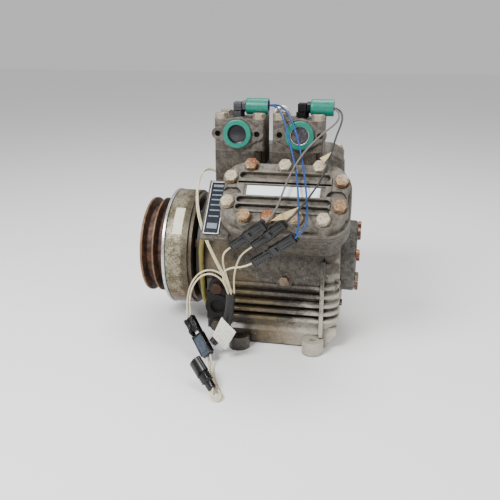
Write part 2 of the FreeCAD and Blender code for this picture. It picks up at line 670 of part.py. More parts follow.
def clutch_rotor():
    """Friction disc with a hub that is keyed to the shaft and carries the pulley bearing."""
    disc = ring_x(89.8, SHAFT_NOSE_RADIUS + 0.02, ROTOR_FACE, ROTOR_FACE + 7.4)
    hub = ring_x(HUB_RADIUS, SHAFT_NOSE_RADIUS + 0.02, PULLEY_FRONT + 12, ROTOR_FACE + 1)
    shoulder = ring_x(30, SHAFT_NOSE_RADIUS + 0.02, -192, ROTOR_FACE + 1)
    keyway = box(-204.2, -183.8, -4.02, 4.02, AXIS_HEIGHT, AXIS_HEIGHT + SHAFT_NOSE_RADIUS + 3.5)
    slots = []
    for radius in (58, 74):
        for k in range(6):
            arc = ring_x(radius + 2, radius - 2, ROTOR_FACE - 1, ROTOR_FACE + 9)
            wedge = box(-190, -160, -radius * 0.42, radius * 0.42, AXIS_HEIGHT, AXIS_HEIGHT + 95)
            wedge.rotate(V(0, 0, AXIS_HEIGHT), V(1, 0, 0), 60 * k)
            slots.append(arc.common(wedge))
    return cut(fuse(disc, hub, shoulder), keyway, *slots)


def rotor_key():
    return box(-203.9, -184.1, -3.98, 3.98, AXIS_HEIGHT + SHAFT_NOSE_RADIUS - 3.98,
               AXIS_HEIGHT + SHAFT_NOSE_RADIUS + 3.4)


def rotor_bolt():
    """Centre bolt and the large washer that hold the rotor and the bearing on the shaft."""
    face = PULLEY_FRONT + 12
    washer = ring_x(29, 6 + THREAD_GAP, face - 3, face)
    screw = fuse(rod_x(6, face - 3, face + 26), hexagon(19, 8, V(face - 3, 0, AXIS_HEIGHT), V(-1, 0, 0)))
    return [washer, screw]


def pulley_profile():
    """Half section through the pulley, as radius and x, starting at the bearing bore."""
    rim = PULLEY_FRONT
    points = [(38.5, rim + 11), (45, rim + 8), (56, rim + 14), (62, rim + 4), (66, rim), (PULLEY_RADIUS, rim)]
    edge = rim + FIRST_RIM
    inset = (GROOVE_TOP - GROOVE_BOTTOM) / 2
    for k in range(2):
        start = edge + k * GROOVE_PITCH
        deep = PULLEY_RADIUS - GROOVE_DEPTH
        points += [(PULLEY_RADIUS, start), (deep, start + inset), (deep, start + inset + GROOVE_BOTTOM),
                   (PULLEY_RADIUS, start + GROOVE_TOP)]
    back = edge + GROOVE_PITCH + GROOVE_TOP + 1.4
    points += [(PULLEY_RADIUS, back), (50, back), (48, back - 8), (45, back - 10), (38.5, back - 10)]
    return points


def pulley():
    corners = [V(x, 0, AXIS_HEIGHT + radius) for radius, x in pulley_profile()]
    corners.append(corners[0])
    body = Part.Face(Part.makePolygon(corners)).revolve(V(0, 0, AXIS_HEIGHT), V(1, 0, 0), 360)
    holes = [rod_x(4.5, PULLEY_FRONT - 1, PULLEY_FRONT + 60, 52 * math.cos(a), AXIS_HEIGHT + 52 * math.sin(a))
             for a in (math.radians(60 * k + 30) for k in range(6))]
    return cut(body, *holes)


def pulley_bearing_ring():
    return ring_x(38.5, HUB_RADIUS + 9, PULLEY_FRONT + 12, -193)


def bearing_core():
    """Inner ring and balls, which turn with the rotor hub."""
    inner = ring_x(HUB_RADIUS + 3.5, HUB_RADIUS, PULLEY_FRONT + 12, -193)
    middle = (PULLEY_FRONT + 12 - 193) / 2
    radius = HUB_RADIUS + 3.5 + BALL / 2
    balls = []
    for row in (-5, 5):
        for k in range(BALLS):
            angle = 2 * math.pi * k / BALLS
            centre = V(middle + row, radius * math.cos(angle), AXIS_HEIGHT + radius * math.sin(angle))
            balls.append(Part.makeSphere(BALL / 2, centre))
    return [inner] + balls


def armature_plate():
    back = ROTOR_FACE - AIR_GAP
    plate = ring_x(ARMATURE_RADIUS, 47, back - ARMATURE_THICKNESS, back)
    rim = [e for e in plate.Edges if e.BoundBox.YLength > 190]
    return plate.makeChamfer(1, rim)


def armature_springs():
    """Three leaf springs that pull the armature back towards the pulley."""
    face = ROTOR_FACE - AIR_GAP - ARMATURE_THICKNESS
    leaves = []
    for k in range(3):
        leaf = box(face - 1.0, face, -34, 34, AXIS_HEIGHT + 54, AXIS_HEIGHT + 66)
        leaf = leaf.makeFillet(5.5, [e for e in leaf.Edges if e.BoundBox.XLength > 0.5])
        leaf.rotate(V(0, 0, AXIS_HEIGHT), V(1, 0, 0), 120 * k)
        leaves.append(leaf)
    return leaves


# ------------------------------------------------------------------ shut-off valves and switches

def valve_body(name):
    left = VALVE_LEFTS[name]
    port_x = PORT_X[name]
    block = box(left, left + VALVE_WIDTH, VALVE_FRONT, VALVE_REAR, VALVE_SEAT, VALVE_TOP)
    upright = [e for e in block.Edges if e.BoundBox.ZLength > 30]
    block = block.makeFillet(4, upright)
    boss = rod_y(PORT_BOSS_RADIUS, VALVE_FRONT, -8, port_x, PORT_HEIGHT)
    flange = port_flange(port_x)
    gland = rod_y(12, VALVE_REAR, 16, port_x, PORT_HEIGHT)
    body = fuse(block, boss, flange, gland)
    port = rod_y(PORT_RADIUS, PORT_FACE - 1, -12, port_x, PORT_HEIGHT)
    stem = rod_y(SPINDLE_RADIUS + RUNNING_GAP, -13, 17, port_x, PORT_HEIGHT)
    passage = rod_z(9, VALVE_SEAT - 1, PORT_HEIGHT, port_x, -34)
    holes = [rod_y(PORT_HOLE_RADIUS, PORT_FACE - 1, PORT_HOLE_END, port_x + s * PORT_HOLE_SPACING / 2, PORT_HEIGHT)
             for s in (-1, 1)]
    holes += [rod_z(M10 / 2 + HOLE_GAP, VALVE_SEAT - 1, VALVE_TOP + 20, x, y)
              for x, y in valve_bolt_points(left)]
    holes.append(rod_z(5.05, PORT_HEIGHT + 17, 370, *switch_stem(name)))
    spot_faces = [rod_z(M10_WASHER / 2 + 0.4, VALVE_TOP, VALVE_TOP + 20, x, y)
                  for x, y in valve_bolt_points(left)]
    return cut(body, port, stem, passage, *(holes + spot_faces))


def port_flange(port_x):
    """Two-eared flange round a pipe port."""
    middle = rod_y(PORT_BOSS_RADIUS + 1, PORT_FACE, VALVE_FRONT + 6, port_x, PORT_HEIGHT)
    ears = [rod_y(9.5, PORT_FACE, VALVE_FRONT + 6, port_x + s * PORT_HOLE_SPACING / 2, PORT_HEIGHT)
            for s in (-1, 1)]
    half = PORT_HOLE_SPACING / 2
    corners = [V(port_x - half, PORT_FACE, PORT_HEIGHT + 9), V(port_x - 12, PORT_FACE, PORT_HEIGHT + 21),
               V(port_x + 12, PORT_FACE, PORT_HEIGHT + 21), V(port_x + half, PORT_FACE, PORT_HEIGHT + 9),
               V(port_x + half, PORT_FACE, PORT_HEIGHT - 9), V(port_x + 12, PORT_FACE, PORT_HEIGHT - 21),
               V(port_x - 12, PORT_FACE, PORT_HEIGHT - 21), V(port_x - half, PORT_FACE, PORT_HEIGHT - 9)]
    corners.append(corners[0])
    web = Part.Face(Part.makePolygon(corners)).extrude(V(0, VALVE_FRONT + 6 - PORT_FACE, 0))
    return fuse(middle, web, *ears)


def spindle(name):
    x = PORT_X[name]
    stem = rod_y(SPINDLE_RADIUS, -14, 27, x, PORT_HEIGHT)
    head = rod_y(13, -18, -13.5, x, PORT_HEIGHT)
    return fuse(stem, head)


def spindle_caps():
    caps = []
    for x in PORT_X.values():
        cap = hexagon(24, 24, V(x, 16, PORT_HEIGHT), V(0, 1, 0))
        caps.append(cap.cut(rod_y(9, 15, 36, x, PORT_HEIGHT)))
    return caps


def port_plugs():
    """Plastic transit plugs pushed into the pipe ports."""
    plugs = []
    for x in PORT_X.values():
        rim = rod_y(21.5, PORT_FACE - 4.4, PORT_FACE, x, PORT_HEIGHT)
        rim = rim.makeFillet(1.6, [e for e in rim.Edges if e.BoundBox.YMax < PORT_FACE - 4])
        sleeve = rod_y(PORT_RADIUS - 0.1, PORT_FACE, PORT_FACE + 14, x, PORT_HEIGHT)
        hollow = rod_y(14.4, PORT_FACE - 6, PORT_FACE + 11, x, PORT_HEIGHT)
        plugs.append(fuse(rim, sleeve).cut(hollow))
    return plugs


SWITCH_AXIS = {"discharge": (-23.3, 372.5), "suction": (-23.3, 372.5)}
SWITCH_ELBOW_X = {"discharge": -72.9, "suction": 26.0}


def switch_stem(name):
    return SWITCH_ELBOW_X[name], SWITCH_AXIS[name][0]


def pressure_switch(name):
    """A screwed elbow on top of the valve with a round switch body lying along +X."""
    x, y = switch_stem(name)
    z = SWITCH_AXIS[name][1]
    seat = PORT_HEIGHT + PORT_BOSS_RADIUS + 0.1
    thread = rod_z(5, seat - 5.5, seat + 2, x, y)
    nut = hexagon(17, z - 7 - seat, V(x, y, seat))
    block = box(x - 7, x + 7, y - 7, y + 7, z - 7, z + 6.5)
    block = block.makeChamfer(1.5, block.Edges)
    collar = hexagon(15, 5, V(x + 7, y, z), V(1, 0, 0))
    body = rod_x(8, x + 12, x + 34, y, z)
    return fuse(thread, nut, block, rod_x(6, x + 6, x + 13, y, z), collar, body)


def switch_caps():
    """Plastic cups pushed over the switch bodies, open at the lead side."""
    caps = []
    for name in VALVE_LEFTS:
        x, y = switch_stem(name)
        z = SWITCH_AXIS[name][1]
        start = x + 12.3
        cup = rod_x(12.4, start, start + 34.6, y, z)
        cup = cup.makeFillet(3, [e for e in cup.Edges if e.BoundBox.XMax < start + 0.1])
        bore = rod_x(8.1, start - 1, start + 12, y, z)
        mouth = rod_x(10.9, start + 11, start + 40, y, z)
        caps.append(cut(cup, bore, mouth))
    return caps


# ------------------------------------------------------------------ small fittings

def lifting_eye():
    ring = Part.makeTorus(11.5, 3.9, V(-13, 32, 353), V(0, 1, 0))
    collar = rod_z(10, 334, 340, -13, 32)
    return fuse(ring, collar, rod_z(M10 / 2, 315, 335, -13, 32))


def sight_flange():
    plate = box(-114, -78, -86, -78, 40, 86)
    ends = [rod_y(15, -86, -78, -96, z) for z in (31, 95)]
    body = fuse(plate, *ends)
    hub = rod_y(20, -88, -78, -96, 63)
    body = fuse(body, hub)
    window = rod_y(12, -89, -77, -96, 63)
    seat = rod_y(15, -83, -77, -96, 63)
    holes = [rod_y(M10 / 2 + HOLE_GAP, -90, -77, -96, z) for z in (31, 95)]
    return cut(body, window, seat, *holes)


def sight_glass():
    return rod_y(14.9, -83, -78, -96, 63)


def sight_bolts():
    solids = []
    for z in (31, 95):
        solids += m10_bolt(18, V(-96, -86, z), V(0, -1, 0))
    return solids


def case_plugs():
    """The screwed plug in the barrel's side and the small one in the rear end of the sump."""
    body = rod_y(9, -BARREL_RADIUS - 1, -76, 11, 117)
    front = fuse(body, hexagon(14, 6, V(11, -BARREL_RADIUS - 1, 117), V(0, -1, 0)))
    stub = rod_x(4, CASE_REAR - 8, CASE_REAR, -44, 67)
    return [front, fuse(stub, hexagon(10, 5, V(CASE_REAR, -44, 67), V(1, 0, 0)))]


def nameplate():
    plate = box(BANK_CENTRE - 118, BANK_CENTRE - 94.5, -52, 38, DECK + 1, DECK + 2.5)
    upright = [e for e in plate.Edges if e.BoundBox.ZLength > 1]
    return to_bank(plate.makeFillet(1.5, upright), "front")


# ------------------------------------------------------------------ leads, hose and their connectors

def route_wire(points):
    """Straight runs joined by tangent arcs, each as large as its two runs allow."""
    edges = []
    radii = []
    last = points[0]
    for before, corner, after in zip(points, points[1:], points[2:]):
        inward = (corner - before).normalize()
        outward = (after - corner).normalize()
        half_turn = inward.getAngle(outward) / 2
        setback = 0.45 * min((corner - before).Length, (after - corner).Length)
        radii.append(setback / math.tan(half_turn))
        start = corner - inward * setback
        end = corner + outward * setback
        bisector = (outward - inward).normalize()
        middle = corner + bisector * radii[-1] * (1 / math.cos(half_turn) - 1)
        edges.append(Part.LineSegment(last, start).toShape())
        edges.append(Part.Arc(start, middle, end).toShape())
        last = end
    edges.append(Part.LineSegment(last, points[-1]).toShape())
    return Part.Wire(edges), min(radii)


def tube_along(name, coordinates, diameter):
    points = [V(*c) for c in coordinates]
    wire, tightest = route_wire(points)
    circle = Part.Circle(points[0], points[1] - points[0], diameter / 2).toShape()
    tube = wire.makePipeShell([Part.Wire(circle)], True, False)
    expected = wire.Length * math.pi * diameter ** 2 / 4
    print(f"{name}: length {wire.Length:.0f}, tightest radius {tightest:.1f} for diameter {diameter},"
          f" volume {tube.Volume / expected:.3f} of section times length")
    return tube


LEAD = 2.6
SWITCH_LEAD = 2.8
SLEEVE = 14.0
HOSE = 8.0

CONNECTORS = [
    (V(-53.3, -180, 197.2), V(-2.6, -186, 237.5)),
    (V(-22.9, -180, 199.9), V(24.3, -184, 239.1)),
    (V(-21.4, -188, 178.6), V(41.3, -200, 225.5)),
]
COUPLER_LOW = V(-93.3, -161.0, 13.0)
COUPLER_HIGH = V(-134.8, -121.0, 56.0)
PLUG_REAR = V(-66.0, -247.0, 9.0)
PLUG_MOUTH = V(-100.0, -214.0, 33.0)

ROUTES = {
    "blue_lead_1": (SWITCH_LEAD, [
        (-38.2, -26.5, 372.5), (-27, -28, 375), (-16, -35, 375.5), (-6, -47.5, 371), (3, -63, 358.5),
        (11, -80.5, 340), (20, -99, 319.5), (28, -118, 299), (33.5, -136.5, 280.5), (37, -156, 264.5),
        (39.5, -173.5, 248.5), (42, -185, 235), (39.3, -196.5, 224)]),
    "blue_lead_2": (SWITCH_LEAD, [
        (-38.2, -20, 371), (-25, -21.5, 374.5), (-10, -30, 376), (4, -44.5, 370.5), (16, -63, 354.5),
        (26, -82, 335), (34, -102, 314), (41, -122.5, 293), (46, -142, 273.5), (50, -160, 255.5),
        (52, -178, 241), (50, -192, 232.5), (38.5, -202.5, 223.4)]),
    "grey_lead": (SWITCH_LEAD, [
        (60, -26.5, 372), (71, -28, 372.5), (80, -34, 369.5), (83, -45, 362), (78, -58, 354),
        (65, -72, 345), (51, -87, 333.5), (38, -102, 320), (28, -118.5, 304.5), (20, -134, 288.5),
        (14.5, -149, 271), (9.5, -165, 255), (4, -178, 245), (-5, -185.8, 235.6)]),
    "black_lead": (SWITCH_LEAD, [
        (60, -20.5, 372), (72, -21.5, 372.5), (82, -26.5, 370), (87, -37.5, 363), (86, -53, 353),
        (81, -71.5, 340), (77, -91, 324), (73, -110.5, 306.5), (67, -129, 290.5), (58, -146.5, 276.5),
        (48, -163, 263.5), (39, -176.5, 253.5), (31.5, -184, 246.5), (24.3, -184, 239.1)]),
    "lead_a": (LEAD, [
        (-53.3, -180, 197.2), (-61, -178.5, 191), (-66.5, -171.5, 181), (-69, -161, 165),
        (-69, -147, 146), (-67, -134, 126), (-64.8, -125.6, 102)]),
    "lead_b": (LEAD, [
        (-22.9, -180, 199.9), (-32, -178, 193), (-41, -170.5, 182.5), (-48.5, -159, 167),
        (-55, -145, 148), (-60, -131, 127), (-61.4, -121.6, 102)]),
    "lead_c": (LEAD, [
        (-21.4, -188, 178.6), (-34, -184.5, 171), (-50, -177, 166.5), (-64, -166, 158),
        (-72, -152.5, 143), (-72.5, -138, 124), (-69, -125.6, 102)]),
    "coil_lead_1": (LEAD, [
        (-104.5, -32, 270), (-115, -34.5, 274), (-122, -42, 275), (-126, -54, 272),
        (-127.5, -69, 263.5), (-126.5, -84, 250.5), (-123.5, -97, 231.5), (-117.5, -105, 208),
        (-109, -109.5, 185), (-98, -113, 162), (-86.5, -115.5, 140.5), (-76, -117, 121),
        (-69, -118.4, 102)]),
    "coil_lead_2": (LEAD, [
        (-104.5, -38, 273), (-114, -41, 277.5), (-120, -48.5, 278), (-123.5, -60, 274),
        (-124.5, -74.5, 265), (-123.5, -89, 251), (-120, -101, 231), (-113.5, -109, 208),
        (-104.8, -113.5, 185), (-93.7, -116.8, 162), (-82, -119, 140.5), (-71.5, -119.6, 121),
        (-64.8, -118, 102)]),
    "plug_lead_1": (LEAD, [
        (-71.1, -122.2, 102), (-74, -124.5, 117), (-84, -128, 131), (-97.5, -130.5, 136.5),
        (-112, -130.5, 130.5), (-123.5, -129, 115), (-130, -127, 96.5), (-131.8, -124.5, 77),
        (-130.8, -122.1, 57.6)]),
    "plug_lead_2": (LEAD, [
        (-66.9, -122, 102), (-69, -123, 119), (-79.5, -126.5, 135.5), (-95, -128, 142),
        (-112, -127.5, 136.5), (-125, -126, 121), (-133, -123.5, 101), (-137, -122, 78),
        (-136.5, -122.1, 52)]),
    "tail_lead_1": (LEAD, [
        (-91.6, -159.9, 17), (-87.5, -168.5, 8), (-83, -180, 3), (-77.5, -194, 2),
        (-71.5, -208.5, 2), (-65, -223.5, 2), (-58.5, -237.5, 2), (-52.5, -248.5, 2),
        (-50.5, -257.5, 2), (-55, -264.5, 2.6), (-63, -264, 4.2), (-67.5, -256, 6),
        (-69, -245.8, 7.5)]),
    "tail_lead_2": (LEAD, [
        (-97.3, -159.9, 11.4), (-93, -170, 5.5), (-87.5, -182.5, 3.6), (-82, -196.5, 3),
        (-76, -211, 3.6), (-69, -226, 5), (-61, -240, 5.8), (-54, -250, 6), (-51.5, -257.5, 6.2),
        (-55, -264.2, 7.2), (-62.6, -264, 9.2), (-65, -256, 11), (-65.6, -245.8, 12.3)]),
    "harness_sleeve": (SLEEVE, [
        (-66.9, -122, 102), (-66.9, -123.2, 87), (-68.8, -126.5, 69), (-74.5, -130.5, 50),
        (-83, -134.5, 34), (-92.5, -138.5, 24)]),
}
HOSE_ROUTE = [
    (-109, -66.5, 180), (-112, -80, 187), (-117, -90, 180), (-120.5, -90, 160), (-121.5, -86, 132),
    (-121.5, -82, 105), (-121.5, -77, 84), (-120, -73, 67), (-115, -73, 58)]


def straight_block(low, high, width, thickness, start, end):
    """A block along the line from one point to another, between two distances from the first."""
    along = (high - low).normalize()
    block = Part.makeBox(width, thickness, end - start, V(-width / 2, -thickness / 2, start))
    block = block.makeChamfer(1.2, block.Edges)
    side = V(0, 1, 0)
    side = (side - along * side.dot(along)).normalize()
    across = side.cross(along)
    matrix = FreeCAD.Matrix(across.x, side.x, along.x, low.x, across.y, side.y, along.y, low.y,
                            across.z, side.z, along.z, low.z, 0, 0, 0, 1)
    return block.transformGeometry(matrix)


def wire_connectors():
    solids = []
    for low, high in CONNECTORS:
        length = (high - low).Length
        plug = straight_block(low, high, 12, 10, 0, length * 0.55)
        socket = straight_block(low, high, 15, 13, length * 0.42, length)
        latch = straight_block(low, high, 5, 16, length * 0.36, length * 0.52)
        solids.append(fuse(plug, socket, latch))
    return solids


def coupler():
    length = (COUPLER_HIGH - COUPLER_LOW).Length
    body = straight_block(COUPLER_LOW, COUPLER_HIGH, 19, 13, 0, length * 0.72)
    top = straight_block(COUPLER_LOW, COUPLER_HIGH, 16, 11, length * 0.6, length)
    return fuse(body, top)


def pin_plug():
    length = (PLUG_MOUTH - PLUG_REAR).Length
    grip = straight_block(PLUG_REAR, PLUG_MOUTH, 14, 11, 0, length * 0.45)
    hood = straight_block(PLUG_REAR, PLUG_MOUTH, 22, 13, length * 0.4, length)
    mouth = straight_block(PLUG_REAR, PLUG_MOUTH, 18, 9, length - 9, length + 6)
    return fuse(grip, hood).cut(mouth)


def paper_flag(corners, thickness):
    """A flat paper tag cut to a polygon."""
    points = [V(*c) for c in corners]
    normal = (points[1] - points[0]).cross(points[2] - points[0]).normalize()
    return Part.Face(Part.makePolygon(points + points[:1])).extrude(normal * thickness)


def wire_tags():
    """The label that flies from the harness sleeve and two masking-tape flags on the leads."""
    label = paper_flag([(-75.3, -150, 74), (-52.8, -150, 52), (-70.3, -150, 19), (-89.6, -150, 41.6)], 0.8)
    high = paper_flag([(76, -99.8, 320.5), (67.7, -112.6, 307.7), (60.5, -107.6, 312.7)], 0.5)
    low = paper_flag([(42.4, -195, 264.6), (26.9, -195, 247.4), (4.9, -195, 243.5), (17.5, -195, 253.8)], 0.5)
    return [label, high, low]


def drain_hose():
    return tube_along("drain_hose", HOSE_ROUTE, HOSE)


# ------------------------------------------------------------------ writing the nodes

def all_nodes():
    nodes = {
        "crankcase": crankcase(), "front_cover": front_cover(), "rear_cover": rear_cover(),
        "sump_plate": sump_plate(), "case_bolts": case_bolts(),
        "main_bushes": main_bushes() + [shaft_seal_seat()],
        "front_head": to_bank(cylinder_head(), "front"), "rear_head": to_bank(cylinder_head(), "rear"),
        "valve_plates": valve_plates(), "cylinder_gaskets": cylinder_gaskets(),
        "valve_reeds": valve_reeds(), "m10_bolts": m10_bolts() + sight_bolts(),
        "crankshaft": crankshaft(), "connecting_rods": connecting_rods(),
        "shaft_seal_ring": shaft_seal_ring(), "clutch_magnet": clutch_magnet(),
        "clutch_coil": clutch_coil(), "clutch_rotor": clutch_rotor(),
        "rotor_fixings": rotor_bolt() + [rotor_key()], "pulley": pulley(), "pulley_bearing_ring": pulley_bearing_ring(),
        "bearing_core": bearing_core(), "armature_plate": armature_plate(),
        "armature_springs": armature_springs(), "spindle_caps": spindle_caps(),
        "port_plugs": port_plugs(), "switch_caps": switch_caps(), "lifting_eye": lifting_eye(),
        "sight_flange": [sight_flange(), sight_glass()], "case_plugs": case_plugs(),
        "nameplate": nameplate(), "drain_hose": drain_hose(),
        "wire_connectors": wire_connectors(), "coupler": coupler(), "pin_plug": pin_plug(),
        "wire_tags": wire_tags(),
    }
    for name in VALVE_LEFTS:
        nodes[f"{name}_valve"] = valve_body(name)
        nodes[f"{name}_spindle"] = spindle(name)
        nodes[f"{name}_switch"] = pressure_switch(name)
    for number in (1, 2, 3, 4):
        nodes[f"piston_{number}"] = piston(number)
    for name, (diameter, points) in ROUTES.items():
        nodes[name] = tube_along(name, points, diameter)
    return nodes


def write(name, shape):
    solids = shape if isinstance(shape, list) else shape.Solids
    whole = Part.makeCompound(solids) if len(solids) > 1 else solids[0]
    for solid in solids:
        if not solid.isValid() or solid.Volume <= 0:
            print(f"{name}: a solid is not valid")
    whole.exportStep(f"parts/{name}.step")


os.makedirs("parts", exist_ok=True)
for node_name, node_shape in all_nodes().items():
    write(node_name, node_shape)
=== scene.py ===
# %% [markdown]
# # A belt-driven refrigeration compressor
# The machine is a four-cylinder vee compressor from a bus. Its solids come from CAD as a fixed
# frame, so this script never shapes the castings: it gives each surface the finish of the real
# metal, rubber or plastic, and it adds the small pieces that CAD leaves plain, such as connector
# housings, labels and leads. The tools are loaded first.

# %% Load the frame
import math
import bpy
import bmesh
from mathutils import Matrix, Vector


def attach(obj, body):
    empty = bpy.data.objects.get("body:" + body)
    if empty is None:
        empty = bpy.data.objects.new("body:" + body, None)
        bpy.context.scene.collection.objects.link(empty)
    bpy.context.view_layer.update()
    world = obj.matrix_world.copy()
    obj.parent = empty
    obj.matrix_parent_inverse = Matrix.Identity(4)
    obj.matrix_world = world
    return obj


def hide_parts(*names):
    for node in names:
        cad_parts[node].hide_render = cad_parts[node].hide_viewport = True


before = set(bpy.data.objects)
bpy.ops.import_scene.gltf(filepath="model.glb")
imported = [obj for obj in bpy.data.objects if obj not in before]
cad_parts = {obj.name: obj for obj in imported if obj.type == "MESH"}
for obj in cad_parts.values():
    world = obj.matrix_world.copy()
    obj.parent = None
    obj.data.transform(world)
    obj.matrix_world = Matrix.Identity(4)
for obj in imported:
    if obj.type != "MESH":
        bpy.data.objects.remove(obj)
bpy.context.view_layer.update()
MM = 0.001
AXIS_HEIGHT = 0.133
SHAFT_AXIS = Matrix.Translation((0, 0, AXIS_HEIGHT))
BANK_TILT = Matrix.Rotation(math.radians(45), 4, "X")

# %% [markdown]
# ## Camera
# A machine this size is usually pictured on a bench with a slightly long lens, from a little above
# and a little to one side, so the pulley end and the front head both read. An empty target with a
# Track To constraint would aim the camera, but it leaves a constraint behind. Turning the camera by
# the direction it looks in is just as short, and it stays put.

# %% Camera
camera_data = bpy.data.cameras.new("bench_camera")
camera_data.lens = 46.3
camera_data.sensor_width = 36.0
camera = bpy.data.objects.new("bench_camera", camera_data)
camera.location = (0.12903, -1.00686, 0.49153)
looks_at = Vector((-0.0594, 0.0, 0.1308))
camera.rotation_euler = (looks_at - camera.location).to_track_quat("-Z", "Y").to_euler()
bpy.context.scene.collection.objects.link(camera)
bpy.context.scene.camera = camera
print("camera stands", round((looks_at - camera.location).length, 3), "m from its target")

# %% [markdown]
# ## Where the leads run
# Thirteen insulated wires and a taped sleeve hang on the machine. The same points give each of them
# its place in CAD.

